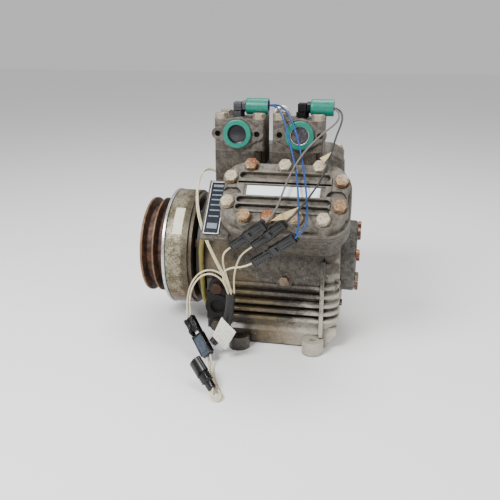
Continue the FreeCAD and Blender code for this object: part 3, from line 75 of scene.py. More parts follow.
# %% Routes of the leads, in metres
ROUTES = {
    "blue_lead_1": [
        (-0.0382, -0.0265, 0.3725), (-0.027, -0.028, 0.375), (-0.016, -0.035, 0.3755),
        (-0.006, -0.0475, 0.371), (0.003, -0.063, 0.3585), (0.011, -0.0805, 0.34),
        (0.02, -0.099, 0.3195), (0.028, -0.118, 0.299), (0.0335, -0.1365, 0.2805),
        (0.037, -0.156, 0.2645), (0.0395, -0.1735, 0.2485), (0.042, -0.185, 0.235),
        (0.0393, -0.1965, 0.224)],
    "blue_lead_2": [
        (-0.0382, -0.02, 0.371), (-0.025, -0.0215, 0.3745), (-0.01, -0.03, 0.376),
        (0.004, -0.0445, 0.3705), (0.016, -0.063, 0.3545), (0.026, -0.082, 0.335),
        (0.034, -0.102, 0.314), (0.041, -0.1225, 0.293), (0.046, -0.142, 0.2735),
        (0.05, -0.16, 0.2555), (0.052, -0.178, 0.241), (0.05, -0.192, 0.2325),
        (0.0385, -0.2025, 0.2234)],
    "grey_lead": [
        (0.06, -0.0265, 0.372), (0.071, -0.028, 0.3725), (0.08, -0.034, 0.3695),
        (0.083, -0.045, 0.362), (0.078, -0.058, 0.354), (0.065, -0.072, 0.345),
        (0.051, -0.087, 0.3335), (0.038, -0.102, 0.32), (0.028, -0.1185, 0.3045),
        (0.02, -0.134, 0.2885), (0.0145, -0.149, 0.271), (0.0095, -0.165, 0.255),
        (0.004, -0.178, 0.245), (-0.005, -0.1858, 0.2356)],
    "black_lead": [
        (0.06, -0.0205, 0.372), (0.072, -0.0215, 0.3725), (0.082, -0.0265, 0.37),
        (0.087, -0.0375, 0.363), (0.086, -0.053, 0.353), (0.081, -0.0715, 0.34),
        (0.077, -0.091, 0.324), (0.073, -0.1105, 0.3065), (0.067, -0.129, 0.2905),
        (0.058, -0.1465, 0.2765), (0.048, -0.163, 0.2635), (0.039, -0.1765, 0.2535),
        (0.0315, -0.184, 0.2465), (0.0243, -0.184, 0.2391)],
    "lead_a": [
        (-0.0533, -0.18, 0.1972), (-0.061, -0.1785, 0.191), (-0.0665, -0.1715, 0.181),
        (-0.069, -0.161, 0.165), (-0.069, -0.147, 0.146), (-0.067, -0.134, 0.126),
        (-0.0648, -0.1256, 0.102)],
    "lead_b": [
        (-0.0229, -0.18, 0.1999), (-0.032, -0.178, 0.193), (-0.041, -0.1705, 0.1825),
        (-0.0485, -0.159, 0.167), (-0.055, -0.145, 0.148), (-0.06, -0.131, 0.127),
        (-0.0614, -0.1216, 0.102)],
    "lead_c": [
        (-0.0214, -0.188, 0.1786), (-0.034, -0.1845, 0.171), (-0.05, -0.177, 0.1665),
        (-0.064, -0.166, 0.158), (-0.072, -0.1525, 0.143), (-0.0725, -0.138, 0.124),
        (-0.069, -0.1256, 0.102)],
    "coil_lead_1": [
        (-0.1045, -0.032, 0.27), (-0.115, -0.0345, 0.274), (-0.122, -0.042, 0.275),
        (-0.126, -0.054, 0.272), (-0.1275, -0.069, 0.2635), (-0.1265, -0.084, 0.2505),
        (-0.1235, -0.097, 0.2315), (-0.1175, -0.105, 0.208), (-0.109, -0.1095, 0.185),
        (-0.098, -0.113, 0.162), (-0.0865, -0.1155, 0.1405), (-0.076, -0.117, 0.121),
        (-0.069, -0.1184, 0.102)],
    "coil_lead_2": [
        (-0.1045, -0.038, 0.273), (-0.114, -0.041, 0.2775), (-0.12, -0.0485, 0.278),
        (-0.1235, -0.06, 0.274), (-0.1245, -0.0745, 0.265), (-0.1235, -0.089, 0.251),
        (-0.12, -0.101, 0.231), (-0.1135, -0.109, 0.208), (-0.1048, -0.1135, 0.185),
        (-0.0937, -0.1168, 0.162), (-0.082, -0.119, 0.1405), (-0.0715, -0.1196, 0.121),
        (-0.0648, -0.118, 0.102)],
    "plug_lead_1": [
        (-0.0711, -0.1222, 0.102), (-0.074, -0.1245, 0.117), (-0.084, -0.128, 0.131),
        (-0.0975, -0.1305, 0.1365), (-0.112, -0.1305, 0.1305), (-0.1235, -0.129, 0.115),
        (-0.13, -0.127, 0.0965), (-0.1318, -0.1245, 0.077), (-0.1308, -0.1221, 0.0576)],
    "plug_lead_2": [
        (-0.0669, -0.122, 0.102), (-0.069, -0.123, 0.119), (-0.0795, -0.1265, 0.1355),
        (-0.095, -0.128, 0.142), (-0.112, -0.1275, 0.1365), (-0.125, -0.126, 0.121),
        (-0.133, -0.1235, 0.101), (-0.137, -0.122, 0.078), (-0.1365, -0.1221, 0.052)],
    "tail_lead_1": [
        (-0.0916, -0.1599, 0.017), (-0.0875, -0.1685, 0.008), (-0.083, -0.18, 0.003),
        (-0.0775, -0.194, 0.002), (-0.0715, -0.2085, 0.002), (-0.065, -0.2235, 0.002),
        (-0.0585, -0.2375, 0.002), (-0.0525, -0.2485, 0.002), (-0.0505, -0.2575, 0.002),
        (-0.055, -0.2645, 0.0026), (-0.063, -0.264, 0.0042), (-0.0675, -0.256, 0.006),
        (-0.069, -0.2458, 0.0075)],
    "tail_lead_2": [
        (-0.0973, -0.1599, 0.0114), (-0.093, -0.17, 0.0055), (-0.0875, -0.1825, 0.0036),
        (-0.082, -0.1965, 0.003), (-0.076, -0.211, 0.0036), (-0.069, -0.226, 0.005),
        (-0.061, -0.24, 0.0058), (-0.054, -0.25, 0.006), (-0.0515, -0.2575, 0.0062),
        (-0.055, -0.2642, 0.0072), (-0.0626, -0.264, 0.0092), (-0.065, -0.256, 0.011),
        (-0.0656, -0.2458, 0.0123)],
    "harness_sleeve": [
        (-0.0669, -0.122, 0.102), (-0.0669, -0.1232, 0.087), (-0.0688, -0.1265, 0.069),
        (-0.0745, -0.1305, 0.05), (-0.083, -0.1345, 0.034), (-0.0925, -0.1385, 0.024)],
}
WIRE = 2.6 * MM
SWITCH_WIRE = 2.8 * MM
SLEEVE = 14.0 * MM
print("routes:", len(ROUTES))

# %% [markdown]
# ## Each lead as one smooth curve
# A lead has a round section all the way, so a NURBS spline with a bevel depth is the natural tool.
# A mesh tube would need its own rings of vertices, and a Bezier curve needs handles at every point.
# The order of the spline is set after the points exist, because Blender lowers it when a spline is
# still short. Point radius stays at its default of 1, which scales the section by one.

# %% Draw a lead as a NURBS curve
def lead(name, thickness, back_to_front=False):
    """Makes one lead from its route, from its first point or from its last."""
    route = ROUTES[name][::-1] if back_to_front else ROUTES[name]
    data = bpy.data.curves.new(name, "CURVE")
    data.dimensions = "3D"
    data.resolution_u = 10
    data.bevel_depth = thickness / 2
    data.bevel_resolution = 4
    data.use_fill_caps = True
    spline = data.splines.new("NURBS")
    spline.points.add(len(route) - 1)
    for point, place in zip(spline.points, route):
        point.co = (*place, 1.0)
    spline.order_u = 3
    spline.use_endpoint_u = True
    obj = bpy.data.objects.new("wire_" + name, data)
    bpy.context.scene.collection.objects.link(obj)
    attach(obj, "root")
    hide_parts(name)
    return obj


leads = {}
for name in ROUTES:
    size = WIRE if name.startswith(("lead_", "coil_", "plug_", "tail_")) else SWITCH_WIRE
    size = SLEEVE if name == "harness_sleeve" else size
    leads[name] = lead(name, size, back_to_front=name.startswith("lead_"))
print("leads:", len(leads))

# %% [markdown]
# ## Small tools for every finish
# Every finish below is a node tree. One function adds any node with its settings and its links,
# which keeps each recipe readable. A second one lays a colour over another wherever some value
# runs from a start to a full mark, which is how a painter builds up dirt, rust, wear and painted
# shade. Colours are written as the hex values that a colour picker shows, and one function turns
# them linear.

# %% Helpers for colours and nodes
def paint(hex_code):
    """A hex colour as linear red, green, blue and full alpha."""
    parts = [int(hex_code[k:k + 2], 16) / 255 for k in (1, 3, 5)]
    return [c / 12.92 if c <= 0.04045 else ((c + 0.055) / 1.055) ** 2.4 for c in parts] + [1.0]


def add(tree, kind, out, sockets, **settings):
    """Adds a node, sets its properties, sets or links its inputs, and gives back one output."""
    node = tree.nodes.new("ShaderNode" + kind)
    for key, value in settings.items():
        setattr(node, key, value)
    for socket, source in sockets.items():
        if isinstance(source, bpy.types.NodeSocket):
            tree.links.new(source, node.inputs[socket])
        else:
            node.inputs[socket].default_value = source
    return node.outputs[out]


def layer(tree, under, over, value, start, full, most=1.0):
    """Lays a colour over another, from none where the value is at start to most of it at full."""
    mask = add(tree, "MapRange", 0, {"Value": value, "From Min": start, "From Max": full, "To Max": most},
               interpolation_type="SMOOTHSTEP")
    return add(tree, "Mix", 2, {0: mask, 6: under, 7: paint(over)}, data_type="RGBA")


def begin(name, metallic, roughness):
    """A new material: its node tree, its shader, and the object's coordinates."""
    material = bpy.data.materials.new(name)
    material.use_nodes = True
    tree = material.node_tree
    shader = next(n for n in tree.nodes if n.type == "BSDF_PRINCIPLED")
    shader.inputs["Metallic"].default_value = metallic
    shader.inputs["Roughness"].default_value = roughness
    return material, tree, shader, add(tree, "TexCoord", "Object", {})


def grain(size_mm):
    """The noise scale that gives patches about this many millimetres across."""
    return 1000.0 / size_mm


def dress(material, *names):
    """Gives CAD nodes a material in every slot."""
    for name in names:
        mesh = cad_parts[name].data
        mesh.materials.clear()
        mesh.materials.append(material)

# %% [markdown]
# ## Sand-cast aluminium that has worked for years
# The heads, the crankcase and the rear cover are sand castings. Bare aluminium dulls to a warm
# grey, oil and road dirt settle in every groove, and a chalky white oxide blooms on the outer
# edges. One recipe serves all of them with different colours: broad patches of two greys, a fine
# grain about a millimetre wide for the sand, dirt together with painted shade where the Ambient
# Occlusion node finds a corner, and bright metal where the Bevel node finds an edge. Painting the
# dirt and shade by hand would look as good, but a recipe follows the shape by itself when the
# casting changes.

# %% Recipe for a casting
def casting(name, clean, stained, dirt_and_shade, oxide, patch_mm=16, sand_mm=1.2, reach_mm=9,
            grime_and_shade_amount=1.0, oxide_amount=0.5, metallic=0.3, roughness=0.6, relief_mm=0.35):
    material, tree, shader, place = begin(name, metallic, roughness)
    broad = add(tree, "TexNoise", "Fac", {"Vector": place, "Scale": grain(patch_mm), "Detail": 7.0,
                                          "Roughness": 0.62})
    wide = add(tree, "TexNoise", "Fac", {"Vector": place, "Scale": grain(patch_mm * 3.5), "Detail": 4.0,
                                         "Distortion": 0.6})
    sand = add(tree, "TexNoise", "Fac", {"Vector": place, "Scale": grain(sand_mm), "Detail": 3.0,
                                         "Roughness": 0.7})
    flecks = add(tree, "TexNoise", "Fac", {"Vector": place, "Scale": grain(3.2), "Detail": 5.0,
                                           "Roughness": 0.8})
    corner = add(tree, "AmbientOcclusion", "AO", {"Distance": reach_mm * MM}, samples=8)
    rounded = add(tree, "Bevel", "Normal", {"Radius": 1.2 * MM}, samples=6)
    flat = add(tree, "NewGeometry", "True Normal", {})
    edge = add(tree, "VectorMath", "Value", {0: rounded, 1: flat}, operation="DOT_PRODUCT")
    colour = layer(tree, paint(clean), stained, broad, 0.42, 0.62)
    colour = layer(tree, colour, stained, wide, 0.54, 0.72, 0.8)
    colour = layer(tree, colour, oxide, flecks, 0.54, 0.68, oxide_amount)
    colour = layer(tree, colour, dirt_and_shade, sand, 0.58, 0.78, 0.7)
    colour = layer(tree, colour, oxide, edge, 0.985, 0.88, 0.7)
    # Painted shade mixed with grime: where the Ambient Occlusion node finds a corner or groove, the colour
    # runs towards the dark colour given for dirt and shade.
    openness = add(tree, "Math", 0, {0: corner, 1: broad, 2: -0.18}, operation="ADD", use_clamp=True)
    openness = add(tree, "Math", 0, {0: openness, 1: 0.5}, operation="SUBTRACT", use_clamp=True)
    colour = layer(tree, colour, dirt_and_shade, openness, 0.86, 0.34, min(1.0, grime_and_shade_amount))
    gloss = add(tree, "MapRange", 0, {"Value": broad, "To Min": roughness - 0.14,
                                      "To Max": roughness + 0.18})
    tree.links.new(gloss, shader.inputs["Roughness"])
    height = add(tree, "Math", 0, {0: sand, 1: flecks}, operation="ADD")
    bump = add(tree, "Bump", "Normal", {"Height": height, "Distance": relief_mm * MM, "Strength": 0.9,
                                        "Normal": rounded})
    tree.links.new(bump, shader.inputs["Normal"])
    tree.links.new(colour, shader.inputs["Base Color"])
    return material, tree, shader, place, colour

# %% Finish the castings
head_metal, *_ = casting("weathered sand-cast aluminium", "#c9c1b1", "#90846f", "#17100a", "#f2ecdd",
                         patch_mm=9, reach_mm=11, oxide_amount=0.8, metallic=0.1)
plate_metal, *_ = casting("stained cast aluminium plate", "#a19582", "#6d604f", "#171009", "#d8cfbd",
                          patch_mm=8, reach_mm=8, oxide_amount=0.6, metallic=0.1)
valve_metal, *_ = casting("brown-grey cast iron", "#b3a898", "#74675a", "#150f0b", "#ebe4d6",
                          patch_mm=8, reach_mm=9, oxide_amount=0.75, metallic=0.1)
cover_metal, *_ = casting("dull cast aluminium cover", "#a5a098", "#69635a", "#15110c", "#e6e1d6",
                          patch_mm=8, reach_mm=9, oxide_amount=0.8, metallic=0.15)
dress(head_metal, "front_head", "rear_head")
dress(plate_metal, "valve_plates", "sump_plate")
dress(valve_metal, "discharge_valve", "suction_valve")
dress(cover_metal, "rear_cover")
print("castings finished: heads, plates, valves and rear cover")

# %% [markdown]
# ## The crankcase: oil at one end, oxide at the other
# Oil from the shaft seal has run down the pulley end and soaked the sump, while the rear corner is
# dry and has a white bloom on its fins. The casting recipe gives the base. Two masks made from the
# position along and above the ground then lay the oil and the bloom over it, each broken up with
# noise so that neither has a straight border.

# %% Crankcase finish
case_metal, tree, shader, place, colour = casting(
    "oil-soaked cast aluminium", "#8b8071", "#544a3d", "#100b07", "#d9d1c0",
    patch_mm=9, reach_mm=12, oxide_amount=0.75, roughness=0.55, metallic=0.1)
place_x = add(tree, "SeparateXYZ", "X", {0: place})
place_z = add(tree, "SeparateXYZ", "Z", {0: place})
blotch = add(tree, "TexNoise", "Fac", {"Vector": place, "Scale": grain(22), "Detail": 8.0,
                                       "Roughness": 0.65})
spots = add(tree, "TexNoise", "Fac", {"Vector": place, "Scale": grain(4.5), "Detail": 6.0,
                                      "Roughness": 0.75})
reach = add(tree, "Math", 0, {0: place_x, 1: 6.0, 2: -0.38}, operation="MULTIPLY_ADD")
reach = add(tree, "Math", 0, {0: place_z, 1: -5.0, 2: reach}, operation="MULTIPLY_ADD")
reach = add(tree, "Math", 0, {0: reach, 1: blotch}, operation="ADD")
bloom = add(tree, "Math", 0, {0: spots, 1: 0.9, 2: reach}, operation="MULTIPLY_ADD")
colour = layer(tree, colour, "#d2cbbb", bloom, 0.30, 0.75, 0.6)
soak = add(tree, "Math", 0, {0: place_x, 1: -5.5, 2: 0.12}, operation="MULTIPLY_ADD")
soak = add(tree, "Math", 0, {0: place_z, 1: -4.5, 2: soak}, operation="MULTIPLY_ADD")
soak = add(tree, "Math", 0, {0: soak, 1: blotch}, operation="ADD")
colour = layer(tree, colour, "#5c4a25", soak, 0.18, 0.60, 0.7)
colour = layer(tree, colour, "#0f0b07", soak, 0.55, 0.80, 0.85)
crust = add(tree, "TexNoise", "Fac", {"Vector": place, "Scale": grain(3.5), "Detail": 6.0, "Roughness": 0.8})
colour = layer(tree, colour, "#c9bd9b", crust, 0.60, 0.70, 0.75)
# Painted shade: corners and gaps between the fins that the Ambient Occlusion node finds are darkened almost
# to black, broken up by the crust noise.
corner = add(tree, "AmbientOcclusion", "AO", {"Distance": 9 * MM}, samples=8)
openness = add(tree, "Math", 0, {0: crust, 1: 0.45, 2: corner}, operation="MULTIPLY_ADD")
colour = layer(tree, colour, "#1b130b", openness, 0.98, 0.52, 0.92)
tree.links.new(colour, shader.inputs["Base Color"])
wet = add(tree, "MapRange", 0, {"Value": soak, "From Min": 0.2, "From Max": 0.8, "To Min": 0.0,
                                "To Max": 0.7})
tree.links.new(wet, shader.inputs["Coat Weight"])
shader.inputs["Coat Roughness"].default_value = 0.22
dress(case_metal, "crankcase")
print("crankcase finish:", len(tree.nodes), "nodes")

# %% [markdown]
# ## Rusty iron, zinc and bright steel
# The pulley is grey iron with rust baked into its grooves, darkened further there by painted shade,
# and a warmer orange on the rims, where belts have rubbed. Distance from the shaft axis tells the
# two apart, so the recipe measures it.
# The clutch shell was zinc plated and is now khaki with dark specks, with burnt oil at its foot.
# The armature's rim is ground steel.

# %% Iron, zinc and steel
def shaft_radius(tree, place):
    """Distance of a surface point from the crankshaft axis, in metres."""
    flat = add(tree, "Mapping", 0, {"Vector": place, "Location": (0, 0, -AXIS_HEIGHT), "Scale": (0, 1, 1)})
    return add(tree, "VectorMath", "Value", {0: flat}, operation="LENGTH")


def rusty_iron():
    material, tree, shader, place = begin("rusted grey iron", 0.45, 0.6)
    blotch = add(tree, "TexNoise", "Fac", {"Vector": place, "Scale": grain(9), "Detail": 8.0,
                                           "Roughness": 0.7})
    pits = add(tree, "TexNoise", "Fac", {"Vector": place, "Scale": grain(1.6), "Detail": 4.0})
    radius = shaft_radius(tree, place)
    rim = add(tree, "Math", 0, {0: blotch, 1: 0.006, 2: radius}, operation="MULTIPLY_ADD")
    colour = layer(tree, paint("#33231d"), "#5d4334", blotch, 0.40, 0.64)
    colour = layer(tree, colour, "#8a6a4e", rim, 0.0800, 0.0838, 0.7)
    colour = layer(tree, colour, "#8c4a22", blotch, 0.60, 0.70, 0.6)
    colour = layer(tree, colour, "#120b08", pits, 0.55, 0.75, 0.6)
    # Painted shade: grooves and corners that the Ambient Occlusion node finds are darkened almost to black.
    corner = add(tree, "AmbientOcclusion", "AO", {"Distance": 10 * MM}, samples=8)
    colour = layer(tree, colour, "#0d0807", corner, 0.7, 0.25, 0.85)
    tree.links.new(colour, shader.inputs["Base Color"])
    rounded = add(tree, "Bevel", "Normal", {"Radius": 0.7 * MM}, samples=6)
    bump = add(tree, "Bump", "Normal", {"Height": pits, "Distance": 0.2 * MM, "Strength": 0.8,
                                        "Normal": rounded})
    tree.links.new(bump, shader.inputs["Normal"])
    return material


def dull_zinc():
    material, tree, shader, place = begin("dull zinc-plated iron", 0.5, 0.5)
    blotch = add(tree, "TexNoise", "Fac", {"Vector": place, "Scale": grain(14), "Detail": 8.0,
                                           "Roughness": 0.7})
    specks = add(tree, "TexNoise", "Fac", {"Vector": place, "Scale": grain(2.4), "Detail": 5.0,
                                           "Roughness": 0.75})
    place_z = add(tree, "SeparateXYZ", "Z", {0: place})
    place_x = add(tree, "SeparateXYZ", "X", {0: place})
    colour = layer(tree, paint("#8d8672"), "#5f573f", blotch, 0.40, 0.60)
    colour = layer(tree, colour, "#2d2719", specks, 0.48, 0.62, 0.85)
    colour = layer(tree, colour, "#cfc8b0", specks, 0.42, 0.34, 0.7)
    band = add(tree, "Math", 0, {0: blotch, 1: 0.02, 2: place_x}, operation="MULTIPLY_ADD")
    colour = layer(tree, colour, "#3a3122", band, -0.150, -0.141, 0.8)
    low = add(tree, "Math", 0, {0: blotch, 1: -0.10, 2: place_z}, operation="MULTIPLY_ADD")
    colour = layer(tree, colour, "#5a3a14", low, 0.050, 0.005, 0.85)
    colour = layer(tree, colour, "#1c0c04", low, 0.022, -0.010, 0.95)
    tree.links.new(colour, shader.inputs["Base Color"])
    oily = add(tree, "MapRange", 0, {"Value": low, "From Min": 0.03, "From Max": -0.01, "To Min": 0.0,
                                     "To Max": 0.9})
    tree.links.new(oily, shader.inputs["Coat Weight"])
    shader.inputs["Coat Roughness"].default_value = 0.15
    rounded = add(tree, "Bevel", "Normal", {"Radius": 0.8 * MM}, samples=6)
    bump = add(tree, "Bump", "Normal", {"Height": specks, "Distance": 0.15 * MM, "Strength": 0.7,
                                        "Normal": rounded})
    tree.links.new(bump, shader.inputs["Normal"])
    return material


def steel(name, bright, stain, roughness, stain_amount):
    material, tree, shader, place = begin(name, 0.9, roughness)
    blotch = add(tree, "TexNoise", "Fac", {"Vector": place, "Scale": grain(8), "Detail": 8.0,
                                           "Roughness": 0.7})
    fine = add(tree, "TexNoise", "Fac", {"Vector": place, "Scale": grain(0.9), "Detail": 2.0})
    colour = layer(tree, paint(bright), stain, blotch, 0.45, 0.72, stain_amount)
    tree.links.new(colour, shader.inputs["Base Color"])
    rounded = add(tree, "Bevel", "Normal", {"Radius": 0.5 * MM}, samples=6)
    bump = add(tree, "Bump", "Normal", {"Height": fine, "Distance": 0.05 * MM, "Strength": 0.5,
                                        "Normal": rounded})
    tree.links.new(bump, shader.inputs["Normal"])
    return material


ground_steel = steel("ground steel", "#c3c6c6", "#7d7a74", 0.32, 0.6)
turned_steel = steel("turned steel", "#a9a9a8", "#6d655b", 0.38, 0.5)
dark_plated = steel("dark plated steel", "#55555a", "#2a2725", 0.42, 0.8)
black_fitting = steel("blackened steel fitting", "#262628", "#15110f", 0.38, 0.7)
pale_zinc = steel("pale zinc-plated steel", "#d6d2c8", "#968b7c", 0.45, 0.7)
dress(rusty_iron(), "pulley", "clutch_rotor")
dress(dull_zinc(), "clutch_magnet")
dress(ground_steel, "armature_plate", "bearing_core", "pulley_bearing_ring", "valve_reeds")
dress(turned_steel, "crankshaft", "discharge_spindle", "suction_spindle", "shaft_seal_ring",
      "rotor_fixings", "armature_springs")
dress(dark_plated, "discharge_switch")
dress(black_fitting, "suction_switch")
dress(pale_zinc, "lifting_eye")
print("finishes so far:", len(bpy.data.materials))

# %% [markdown]
# ## Bolts that aged each in its own way
# Bolts on such a machine are replaced one at a time, so one is orange with rust and the next is
# cream with old zinc. All of them are in one CAD node. A noise with patches wider than a bolt but
# narrower than the space between two gives each bolt its own colour, and the height above the
# casting darkens the washers.

# %% Bolt finish
def aged_bolts(name, cream, tan, rust, bolt_spread_mm):
    material, tree, shader, place = begin(name, 0.55, 0.42)
    which = add(tree, "TexNoise", "Fac", {"Vector": place, "Scale": grain(bolt_spread_mm), "Detail": 0.0})
    fine = add(tree, "TexNoise", "Fac", {"Vector": place, "Scale": grain(2.2), "Detail": 6.0,
                                         "Roughness": 0.75})
    colour = layer(tree, paint(cream), tan, which, 0.42, 0.52)
    colour = layer(tree, colour, rust, which, 0.56, 0.66)
    colour = layer(tree, colour, "#2a1d15", fine, 0.50, 0.62, 0.85)
    colour = layer(tree, colour, "#d8cdb8", fine, 0.44, 0.34, 0.6)
    # Painted shade: the Ambient Occlusion node darkens the corners under and between the bolt heads.
    corner = add(tree, "AmbientOcclusion", "AO", {"Distance": 5 * MM}, samples=8)
    colour = layer(tree, colour, "#17100c", corner, 0.75, 0.35, 0.9)
    return material, tree, shader, place, colour


bolt_finish, tree, shader, place, colour = aged_bolts(
    "zinc-plated bolts, part rusted", "#b5aa94", "#8f7252", "#7d4726", 52)
SLOPE = 0.70711
WASHER_TOP = 0.1924 + AXIS_HEIGHT * SLOPE
WASHER_FOOT = 0.1918 + AXIS_HEIGHT * SLOPE
VALVE_TOP = 0.350
either_bank = add(tree, "VectorMath", 0, {0: place}, operation="ABSOLUTE")
out = add(tree, "VectorMath", "Value", {0: either_bank, 1: (0.0, SLOPE, SLOPE)}, operation="DOT_PRODUCT")
colour = layer(tree, colour, "#1b1512", out, WASHER_TOP, WASHER_FOOT, 0.85)
high = add(tree, "SeparateXYZ", "Z", {0: place})
colour = layer(tree, colour, "#a59c8b", high, VALVE_TOP, VALVE_TOP + 0.2 * MM, 0.8)
tree.links.new(colour, shader.inputs["Base Color"])
rounded = add(tree, "Bevel", "Normal", {"Radius": 0.35 * MM}, samples=6)
tree.links.new(rounded, shader.inputs["Normal"])
dress(bolt_finish, "m10_bolts")
small_bolts, tree, shader, place, colour = aged_bolts(
    "dark rusty bolts", "#6d5f50", "#5b3e2c", "#6e4026", 30)
tree.links.new(colour, shader.inputs["Base Color"])
dress(small_bolts, "case_bolts", "case_plugs")
print("bolt finishes:", bolt_finish.name, "and", small_bolts.name)

# %% [markdown]
# ## Plastics, rubber and paper
# Moulded plastic is even in colour and only gathers dust and fine scratches, so one recipe with a
# base colour, a faint mottling and a painted shade colour for the corners covers caps, plugs,
# connector housings, insulation and hose. Gloss comes from the roughness alone.

# %% Recipe for plastic, rubber and paper
def moulded(name, base, dust, roughness, dust_amount=0.35, grain_mm=6.0, corner_shade_colour=None, relief_mm=0.03):
    material, tree, shader, place = begin(name, 0.0, roughness)
    cloud = add(tree, "TexNoise", "Fac", {"Vector": place, "Scale": grain(grain_mm), "Detail": 6.0,
                                          "Roughness": 0.7})
    fine = add(tree, "TexNoise", "Fac", {"Vector": place, "Scale": grain(0.8), "Detail": 3.0})
    colour = layer(tree, paint(base), dust, cloud, 0.48, 0.74, dust_amount)
    # Painted shade: where the Ambient Occlusion node finds a corner, the colour darkens towards the given
    # corner colour.
    if corner_shade_colour:
        corner = add(tree, "AmbientOcclusion", "AO", {"Distance": 4 * MM}, samples=8)
        colour = layer(tree, colour, corner_shade_colour, corner, 0.7, 0.3, 0.8)
    tree.links.new(colour, shader.inputs["Base Color"])
    bump = add(tree, "Bump", "Normal", {"Height": fine, "Distance": relief_mm * MM, "Strength": 0.6})
    tree.links.new(bump, shader.inputs["Normal"])
    return material


teal = moulded("moulded teal polythene", "#04705f", "#023f36", 0.32, 0.6, 7.0, "#01211d")
black_nylon = moulded("moulded black nylon", "#060607", "#2a2928", 0.26, 0.35, 5.0)
grey_nylon = moulded("moulded slate nylon", "#353f4c", "#59636e", 0.36, 0.4, 6.0, "#0c0e11")
blue_skin = moulded("blue wire insulation", "#0f3a73", "#2f62a0", 0.32, 0.5, 10.0)
grey_skin = moulded("grey wire insulation", "#5b5753", "#86807a", 0.45, 0.5, 10.0)
black_skin = moulded("black wire insulation", "#1b1b1c", "#44423f", 0.45, 0.5, 10.0)
cream_skin = moulded("yellowed white wire insulation", "#d2c8a6", "#8d7845", 0.38, 0.7, 12.0)
tape_wrap = moulded("black cloth tape", "#0a0a0a", "#2c2822", 0.5, 0.6, 4.0)
oily_hose = moulded("olive rubber hose", "#6f6328", "#3a3112", 0.38, 0.7, 12.0)
paper = moulded("creased cream paper tape", "#b9a678", "#8a7442", 0.85, 0.8, 6.0)
resin = moulded("brown potting resin", "#1e1510", "#3a2a1e", 0.5)
fibre = moulded("compressed fibre gasket", "#221d18", "#3a322a", 0.8)
bronze = steel("sintered bronze", "#9a7a48", "#5f4a2c", 0.45, 0.5)
dull_brass = steel("dull plated brass", "#8f8468", "#5c5138", 0.42, 0.6)
piston_alloy = steel("turned aluminium", "#c4c4c2", "#9a9690", 0.3, 0.4)
seal_iron, *_ = casting("black oily iron", "#26211c", "#171310", "#080605", "#4a4238", patch_mm=14,
                        oxide_amount=0.2, roughness=0.4)
dress(teal, "port_plugs", "switch_caps")
dress(fibre, "cylinder_gaskets")
dress(bronze, "main_bushes")
dress(dull_brass, "spindle_caps")
dress(piston_alloy, "piston_1", "piston_2", "piston_3", "piston_4", "connecting_rods")
dress(seal_iron, "front_cover", "sight_flange")
dress(resin, "clutch_coil")
dress(oily_hose, "drain_hose")
dress(paper, "wire_tags")
for name, finish in (("blue_lead_1", blue_skin), ("blue_lead_2", blue_skin), ("grey_lead", grey_skin),
                     ("black_lead", black_skin), ("harness_sleeve", tape_wrap)):
    leads[name].data.materials.append(finish)
for name, obj in leads.items():
    if not obj.data.materials:
        obj.data.materials.append(cream_skin)
print("materials so far:", len(bpy.data.materials))

# %% [markdown]
# ## Tools for small moulded pieces
# Connector housings are boxes with rounded edges, ribs and latches. Each starts as a bmesh cube
# that is scaled, moved and bevelled, and several of them share one mesh. Round parts start as a
# profile that spins about an axis. Modelling along a local axis and turning the finished mesh is
# simpler than working out slanted corners.

# %% Blocks, turned parts and finished pieces
def block(shape, size, centre, round_mm=0.5, segments=2):
    """Adds a box with rounded edges to a bmesh. All sizes are in millimetres."""
    made = bmesh.ops.create_cube(shape, size=1.0)["verts"]
    bmesh.ops.scale(shape, vec=[s * MM for s in size], verts=made)
    bmesh.ops.translate(shape, vec=[c * MM for c in centre], verts=made)
    edges = list({e for v in made for e in v.link_edges})
    bmesh.ops.bevel(shape, geom=edges, offset=round_mm * MM, offset_type="OFFSET", segments=segments,
                    profile=0.5, affect="EDGES", material=-1, clamp_overlap=True)


def turned(shape, profile, steps=48):
    """Spins a closed profile of (radius, height) points, in millimetres, about the local Z axis."""
    corners = [shape.verts.new((radius * MM, 0, height * MM)) for radius, height in profile]
    rim = [shape.edges.new((a, b)) for a, b in zip(corners, corners[1:] + corners[:1])]
    bmesh.ops.spin(shape, geom=corners + rim, cent=(0, 0, 0), axis=(0, 0, 1), dvec=(0, 0, 0),
                   angle=2 * math.pi, steps=steps, use_merge=True, use_duplicate=False)


def along_line(low, high):
    """The turn and move that carry local +Z from one point towards another, both in metres."""
    low, high = Vector(low), Vector(high)
    run = (high - low).normalized()
    side = Vector((0, 1, 0))
    side = (side - run * side.dot(run)).normalized()
    across = side.cross(run)
    return Matrix.Translation(low) @ Matrix((across, side, run)).transposed().to_4x4()


def piece(shape, name, material, place=None, body="root", smooth_angle=40):
    """Turns a bmesh into an object that rides on a body."""
    if place is not None:
        bmesh.ops.transform(shape, matrix=place, verts=shape.verts)
    bmesh.ops.remove_doubles(shape, verts=shape.verts, dist=1e-6)
    bmesh.ops.recalc_face_normals(shape, faces=shape.faces)
    mesh = bpy.data.meshes.new(name)
    shape.to_mesh(mesh)
    shape.free()
    mesh.materials.append(material)
    for polygon in mesh.polygons:
        polygon.use_smooth = True
    mesh.set_sharp_from_angle(angle=math.radians(smooth_angle))
    obj = bpy.data.objects.new(name, mesh)
    bpy.context.scene.collection.objects.link(obj)
    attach(obj, body)
    return obj

# %% [markdown]
# ## Wire connectors
# The four switch leads end in three sealed two-way connectors. A real one is a ribbed socket that
# slides over a narrower plug, held by a springy latch on top. The ribs and the latch catch the
# light, so they are modelled rather than left to a bump map.

# %% Connector housings
CONNECTOR_ENDS = [
    ((-0.0533, -0.180, 0.1972), (-0.0026, -0.186, 0.2375)),
    ((-0.0229, -0.180, 0.1999), (0.0243, -0.184, 0.2391)),
    ((-0.0214, -0.188, 0.1786), (0.0413, -0.200, 0.2255)),
]


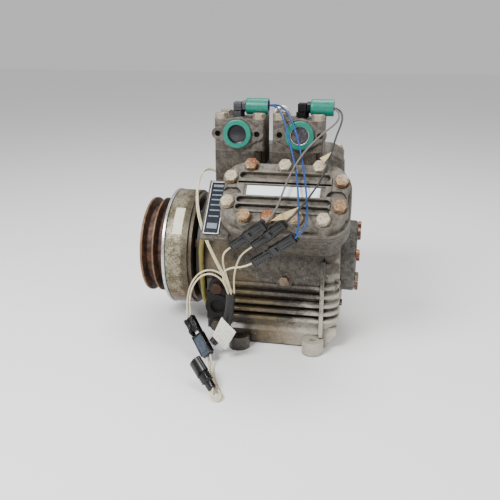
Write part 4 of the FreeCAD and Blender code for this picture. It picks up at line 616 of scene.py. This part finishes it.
def connector(letter, low, high):
    """The plug half on the harness lead, and the socket half that slides over it."""
    length = (Vector(high) - Vector(low)).length / MM
    plug = bmesh.new()
    block(plug, (11, 9, length * 0.46), (0, 0, length * 0.25), 1.1, 3)
    for step in range(5):
        block(plug, (12, 10, 1.3), (0, 0, length * 0.05 + step * 4.2), 0.35)
    block(plug, (5.2, 1.6, length * 0.34), (0, -5.4, length * 0.26), 0.5)
    for across in (-5.6, 5.6):
        block(plug, (2.0, 3.4, 5.0), (across, -3.4, length * 0.36), 0.5)
    socket = bmesh.new()
    block(socket, (14, 12, length * 0.52), (0, 0, length * 0.70), 1.3, 3)
    for share in (0.45, 0.62, 0.93):
        block(socket, (15, 13, 2.2), (0, 0, length * share), 0.6)
    for across in (-4.2, 0, 4.2):
        block(socket, (1.2, 1.4, length * 0.26), (across, -6.2, length * 0.77), 0.35)
    block(socket, (6.6, 2.4, 3.4), (0, -6.6, length * 0.57), 0.6)
    for across in (-3.4, 3.4):
        block(socket, (4.6, 6.0, 3.0), (across, 0, length - 1.5), 1.2, 3)
        block(plug, (4.0, 5.0, 3.0), (across, 0, 1.5), 1.2, 3)
    place = along_line(low, high)
    halves = [piece(plug, "connector_plug_" + letter, black_nylon, place),
              piece(socket, "connector_socket_" + letter, black_nylon, place)]
    for half in halves:
        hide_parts("wire_connectors")
    return halves


connector_plugs, connector_sockets = {}, {}
for letter, (low, high) in zip("abc", CONNECTOR_ENDS):
    connector_plugs[letter], connector_sockets[letter] = connector(letter, low, high)
print("connector halves:", len(connector_plugs) + len(connector_sockets))

# %% [markdown]
# ## The two-piece coupler
# The clutch lead passes through a flat coupler. Its lower half is a slate-coloured shell with a
# ridge down each side, and its upper half is a black frame with two latches that clip over it.

# %% Coupler
COUPLER_LOW, COUPLER_HIGH = (-0.0933, -0.161, 0.013), (-0.1348, -0.121, 0.056)


def coupler():
    """The slate shell and black frame of the lower half, and the latched upper half."""
    length = (Vector(COUPLER_HIGH) - Vector(COUPLER_LOW)).length / MM
    shell = bmesh.new()
    block(shell, (17, 10.5, length * 0.47), (0, 0, length * 0.26), 1.2, 3)
    block(shell, (11, 1.6, length * 0.30), (0, -5.7, length * 0.25), 0.5)
    block(shell, (6, 1.4, 6), (0, -6.4, length * 0.40), 0.5)
    lower = bmesh.new()
    for across in (-8.4, 8.4):
        block(lower, (2.2, 12, length * 0.50), (across, 0, length * 0.30), 0.7)
    block(lower, (14, 10.6, 2.6), (0, 0, length * 0.52), 0.6)
    block(lower, (16, 9, 4), (0, 0, 2.2), 1.0)
    upper = bmesh.new()
    block(upper, (9, 7, length * 0.30), (0, 0, length * 0.80), 1.0, 2)
    for across in (-3.0, 3.0):
        block(upper, (2.0, 2.0, length * 0.24), (across, -4.4, length * 0.84), 0.5)
    for across in (-8.4, 8.4):
        block(upper, (3.4, 10, length * 0.42), (across * 0.84, 0, length * 0.77), 0.8)
        block(upper, (4.2, 3.0, 7.0), (across * 0.8, -5.6, length * 0.66), 0.7)
        block(upper, (3.4, 2.6, 6.0), (across * 0.8, -5.4, length * 0.90), 0.7)
    for share in (0.66, 0.80, 0.94):
        block(upper, (14, 10.6, 2.6), (0, 0, length * share), 0.6)
    place = along_line(COUPLER_LOW, COUPLER_HIGH)
    made = [piece(shell, "coupler_shell", grey_nylon, place),
            piece(lower, "coupler_lower_frame", black_nylon, place),
            piece(upper, "coupler_upper_half", black_nylon, place)]
    for obj in made:
        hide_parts("coupler")
    return made


coupler_pieces = coupler()
print("coupler pieces:", len(coupler_pieces))

# %% [markdown]
# ## The pin plug
# The lead ends in an oval plug with three flat blades inside its mouth. The shroud is one oval that
# is extruded, inset and pushed back in, which is how the cavity of a moulded plug is drawn. Blades
# and ribs are blocks.

# %% Pin plug
PLUG_REAR, PLUG_MOUTH = (-0.066, -0.247, 0.009), (-0.100, -0.214, 0.033)


def pin_plug():
    length = (Vector(PLUG_MOUTH) - Vector(PLUG_REAR)).length / MM
    shape = bmesh.new()
    rim = bmesh.ops.create_circle(shape, cap_ends=True, cap_tris=False, segments=40, radius=1.0)["verts"]
    bmesh.ops.scale(shape, vec=(11.0 * MM, 7.0 * MM, 1.0), verts=rim)
    bmesh.ops.translate(shape, vec=(0, 0, length * 0.55 * MM), verts=rim)
    face = shape.faces[:]
    grown = bmesh.ops.extrude_face_region(shape, geom=face)["geom"]
    risen = [v for v in grown if isinstance(v, bmesh.types.BMVert)]
    bmesh.ops.translate(shape, vec=(0, 0, length * 0.45 * MM), verts=risen)
    top = [f for f in shape.faces if all(v in risen for v in f.verts)]
    bmesh.ops.inset_region(shape, faces=top, thickness=1.7 * MM, depth=0)
    bmesh.ops.translate(shape, vec=(0, 0, -length * 0.3 * MM), verts=list({v for f in top for v in f.verts}))
    block(shape, (15, 10.5, length * 0.34), (0, 0, length * 0.42), 2.2, 3)
    for step in range(4):
        block(shape, (16, 11.5, 1.4), (0, 0, length * 0.30 + step * 3.6), 0.5)
    block(shape, (12, 9, length * 0.28), (0, 0, length * 0.14), 2.5, 3)
    block(shape, (6, 2.2, 9), (0, -7.2, length * 0.66), 0.6)
    place = along_line(PLUG_REAR, PLUG_MOUTH)
    housing = piece(shape, "pin_plug_housing", black_nylon, place)
    blades = bmesh.new()
    for across in (-5.4, 0, 5.4):
        block(blades, (3.2, 1.0, length * 0.28), (across, 0, length * 0.84), 0.25, 1)
    blade_piece = piece(blades, "pin_plug_blades", pale_zinc, along_line(PLUG_REAR, PLUG_MOUTH))
    for obj in (housing, blade_piece):
        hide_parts("pin_plug")
    return [housing, blade_piece]


plug_pieces = pin_plug()
print("plug pieces:", len(plug_pieces))

# %% [markdown]
# ## Labels, discs and rims
# The printed plates and the dark film in the port plugs are thin separate pieces. The film's
# darkness is partly painted shade of the see-through hole behind it, and the grey film's lighter
# purple-grey mottle is a painted glint. Anything printed on them is left blank. The label on the drum
# is curved, so it is a short line spun part of the way round the shaft axis and then given a thickness.

# %% Labels and discs
label_white = moulded("blank vinyl label", "#dfe6ea", "#aebccb", 0.35, 0.7, 16.0, relief_mm=0.01)
drum_white = moulded("blank aged label", "#d3cfb9", "#a89f80", 0.5, 0.7, 9.0, relief_mm=0.01)
# Partly painted shade: this near-black film also stands for the shade inside the plug's see-through hole.
dark_film_and_hole_shade = moulded("dark film with painted hole shade", "#15141a", "#2c2a33", 0.25, 0.7, 12.0, relief_mm=0.1)
# Painted glint and shade: the lighter purple-grey mottle stands for a reflection, and the dark base partly
# for the shade of the hole behind.
grey_film_shade_and_glint = moulded("grey film with painted shade and glint", "#37343b", "#77727a", 0.22, 0.8, 7.0, relief_mm=0.1)
violet_zinc = steel("violet chromated steel", "#8d889c", "#4c4656", 0.3, 0.6)


def head_label():
    shape = bmesh.new()
    block(shape, (104, 15.6, 0.5), (13.0, 1.2, 191.3), 0.2, 1)
    return piece(shape, "head_label", label_white, SHAFT_AXIS @ BANK_TILT)


def drum_label():
    shape = bmesh.new()
    ends = [shape.verts.new((x * MM, 0, 95.9 * MM)) for x in (-168.5, -153.5)]
    line = shape.edges.new(ends)
    bmesh.ops.rotate(shape, verts=ends, cent=(0, 0, 0), matrix=Matrix.Rotation(math.radians(33), 3, "X"))
    bmesh.ops.spin(shape, geom=ends + [line], cent=(0, 0, 0), axis=(1, 0, 0), dvec=(0, 0, 0),
                   angle=math.radians(28), steps=14, use_merge=False, use_duplicate=False)
    bmesh.ops.solidify(shape, geom=shape.faces[:], thickness=0.2 * MM)
    return piece(shape, "drum_label", drum_white, SHAFT_AXIS)


def port_disc(name, x, material, rim_material):
    facing = Matrix.Translation((x * MM, -0.0556, 0.3348)) @ Matrix.Rotation(math.radians(90), 4, "X")
    shape = bmesh.new()
    turned(shape, [(0, -1.5), (14.3, -1.5), (14.3, 0.2), (13.6, 0.5), (0, 0.6)])
    disc = piece(shape, name + "_film", material, facing)
    ring = bmesh.new()
    turned(ring, [(13.2, 0.2), (14.35, 0.2), (14.35, 1.2), (13.8, 1.5), (13.2, 1.2)])
    return [disc, piece(ring, name + "_film_rim", rim_material, facing)]


def cap_rim(name, x0, x1, y, z, outer, inner, material):
    lying = Matrix.Translation((x0 * MM, y * MM, z * MM)) @ Matrix.Rotation(math.radians(90), 4, "Y")
    shape = bmesh.new()
    deep = x1 - x0
    turned(shape, [(inner, 0), (outer, 0), (outer, deep - 0.4), (outer - 0.4, deep), (inner, deep)])
    return piece(shape, name, material, lying)


BAR_ROWS = [(30, 4), (22, 2.2), (14, 2.2), (6, 2.2), (-3, 2.2), (-12, 2.2), (-22, 2.2), (-38, 9)]


def plate_frame():
    """The bright raised border of the data plate, and blank bars where its printing was."""
    place = SHAFT_AXIS @ BANK_TILT
    border = bmesh.new()
    for across, along, wide, long in ((-102.2, -7, 1.2, 88), (-80.3, -7, 1.2, 88), (-91.2, -50.6, 21.8, 1.2),
                                      (-91.2, 36.6, 21.8, 1.2)):
        block(border, (wide, long, 0.7), (across, along, 150.8), 0.15, 1)
    bars = bmesh.new()
    for along, long in BAR_ROWS:
        block(bars, (15, long, 0.3), (-91.2, along, 150.6), 0.1, 1)
    return [piece(border, "data_plate_border", pale_zinc, place),
            piece(bars, "data_plate_bars", bar_grey, place)]


plate_blue = moulded("etched dark blue plate", "#0e1520", "#26303d", 0.22, 0.6, 5.0)
bar_grey = moulded("worn silver ink", "#6d7884", "#232a33", 0.4, 0.9, 3.0)
SWITCH_AXIS = (-23.3, 372.5)
dress(plate_blue, "nameplate")
labels = plate_frame()
labels += [head_label(), drum_label()]
labels += port_disc("discharge_port", -68.6, dark_film_and_hole_shade, black_nylon)
labels += port_disc("suction_port", 25.7, grey_film_shade_and_glint, pale_zinc)
labels.append(cap_rim("discharge_cap_rim", -34.0, -26.1, *SWITCH_AXIS, 10.85, 9.9, violet_zinc))
labels.append(cap_rim("suction_cap_end", 69.5, 72.6, *SWITCH_AXIS, 10.85, 4.0, violet_zinc))
print("labels and discs:", len(labels))

# %% [markdown]
# ## Paper tags
# A printed label folded round the harness flies out like a flag, and two torn ends of masking tape
# are left on the switch leads. Paper is never flat, so each sheet is a grid that is cut to its
# outline, bowed a little, and given a thickness. Blank ruled lines stand for the printing.

# %% Paper tags
def ruled_paper():
    material, tree, shader, place = begin("ruled white paper label", 0.0, 0.7)
    turned_place = add(tree, "Mapping", 0, {"Vector": place, "Rotation": (0, math.radians(-36), 0)})
    across = add(tree, "SeparateXYZ", "X", {0: turned_place})
    lines = add(tree, "Math", 0, {0: across, 1: 2 * math.pi / 0.0042}, operation="MULTIPLY")
    lines = add(tree, "Math", 0, {0: lines}, operation="SINE")
    cloud = add(tree, "TexNoise", "Fac", {"Vector": place, "Scale": grain(5), "Detail": 5.0})
    colour = layer(tree, paint("#dedbd0"), "#b9b4a4", cloud, 0.45, 0.7, 0.6)
    colour = layer(tree, colour, "#8f8b80", lines, 0.82, 0.97, 0.75)
    tree.links.new(colour, shader.inputs["Base Color"])
    return material


def paper_sheet(name, corners, material, bow_mm, thickness_mm=0.3):
    """A four-cornered sheet, divided, bowed along Y, and thickened. Corners are in millimetres."""
    shape = bmesh.new()
    shape.faces.new([shape.verts.new(Vector(c) * MM) for c in corners])
    bmesh.ops.subdivide_edges(shape, edges=shape.edges[:], cuts=9, use_grid_fill=True)
    centre = sum((v.co for v in shape.verts), Vector()) / len(shape.verts)
    reach = max((v.co - centre).length for v in shape.verts)
    for vert in shape.verts:
        away = (vert.co - centre).length / reach
        vert.co.y += bow_mm * MM * (away ** 2 - 0.4) * (1 if vert.co.x < centre.x else 0.35)
    bmesh.ops.solidify(shape, geom=shape.faces[:], thickness=thickness_mm * MM)
    return piece(shape, name, material)


tag_label = paper_sheet("tag_label", [(-75.3, -150, 74), (-52.8, -150, 52), (-70.3, -150, 19),
                                      (-89.6, -150, 41.6)], ruled_paper(), 3.5)
tape_high = paper_sheet("tape_flag_high", [(76, -99.8, 320.5), (73, -105.7, 314.6), (67.7, -112.6, 307.7),
                                           (60.5, -107.6, 312.7)], paper, 0.6)
tape_low = paper_sheet("tape_flag_low", [(42.4, -195, 264.6), (26.9, -195, 247.4), (4.9, -195, 243.5),
                                         (17.5, -195, 253.8)], paper, 2.5)
for obj in (tag_label, tape_high, tape_low):
    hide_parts("wire_tags")
print("paper tags:", 3)

# %% [markdown]
# ## Floor and light
# A pale sweep and three soft lamps are the usual product set-up: a large key from above on the
# left, a weaker fill from the right, and a top light that draws the upper edges.

# %% Floor and light
def lamp(name, place, target, power, size, colour=(1.0, 1.0, 1.0)):
    data = bpy.data.lights.new(name, "AREA")
    data.shape = "DISK"
    data.energy = power
    data.size = size
    data.color = colour
    obj = bpy.data.objects.new(name, data)
    obj.location = place
    obj.rotation_euler = (Vector(target) - Vector(place)).to_track_quat("-Z", "Y").to_euler()
    bpy.context.scene.collection.objects.link(obj)
    return obj


lamp("key", (-0.65, -1.05, 1.25), (0, 0, 0.15), 34, 0.6)
lamp("fill", (1.2, -0.9, 0.85), (0, 0, 0.15), 9, 0.9)
lamp("top", (0.1, 0.35, 1.7), (0, 0, 0.2), 18, 0.9)
world = bpy.data.worlds.new("pale_room")
world.use_nodes = True
room = next(n for n in world.node_tree.nodes if n.type == "BACKGROUND")
room.inputs["Color"].default_value = (1, 1, 1, 1)
room.inputs["Strength"].default_value = 0.62
bpy.context.scene.world = world

mesh = bpy.data.meshes.new("floor")
sheet = bmesh.new()
bmesh.ops.create_grid(sheet, x_segments=1, y_segments=1, size=6.0)
sheet.to_mesh(mesh)
sheet.free()
floor = bpy.data.objects.new("floor", mesh)
bpy.context.scene.collection.objects.link(floor)
matt, tree, shader, place = begin("matt white floor", 0.0, 0.9)
shader.inputs["Base Color"].default_value = paint("#f4f4f4")
mesh.materials.append(matt)
print("lamps:", len(bpy.data.lights))
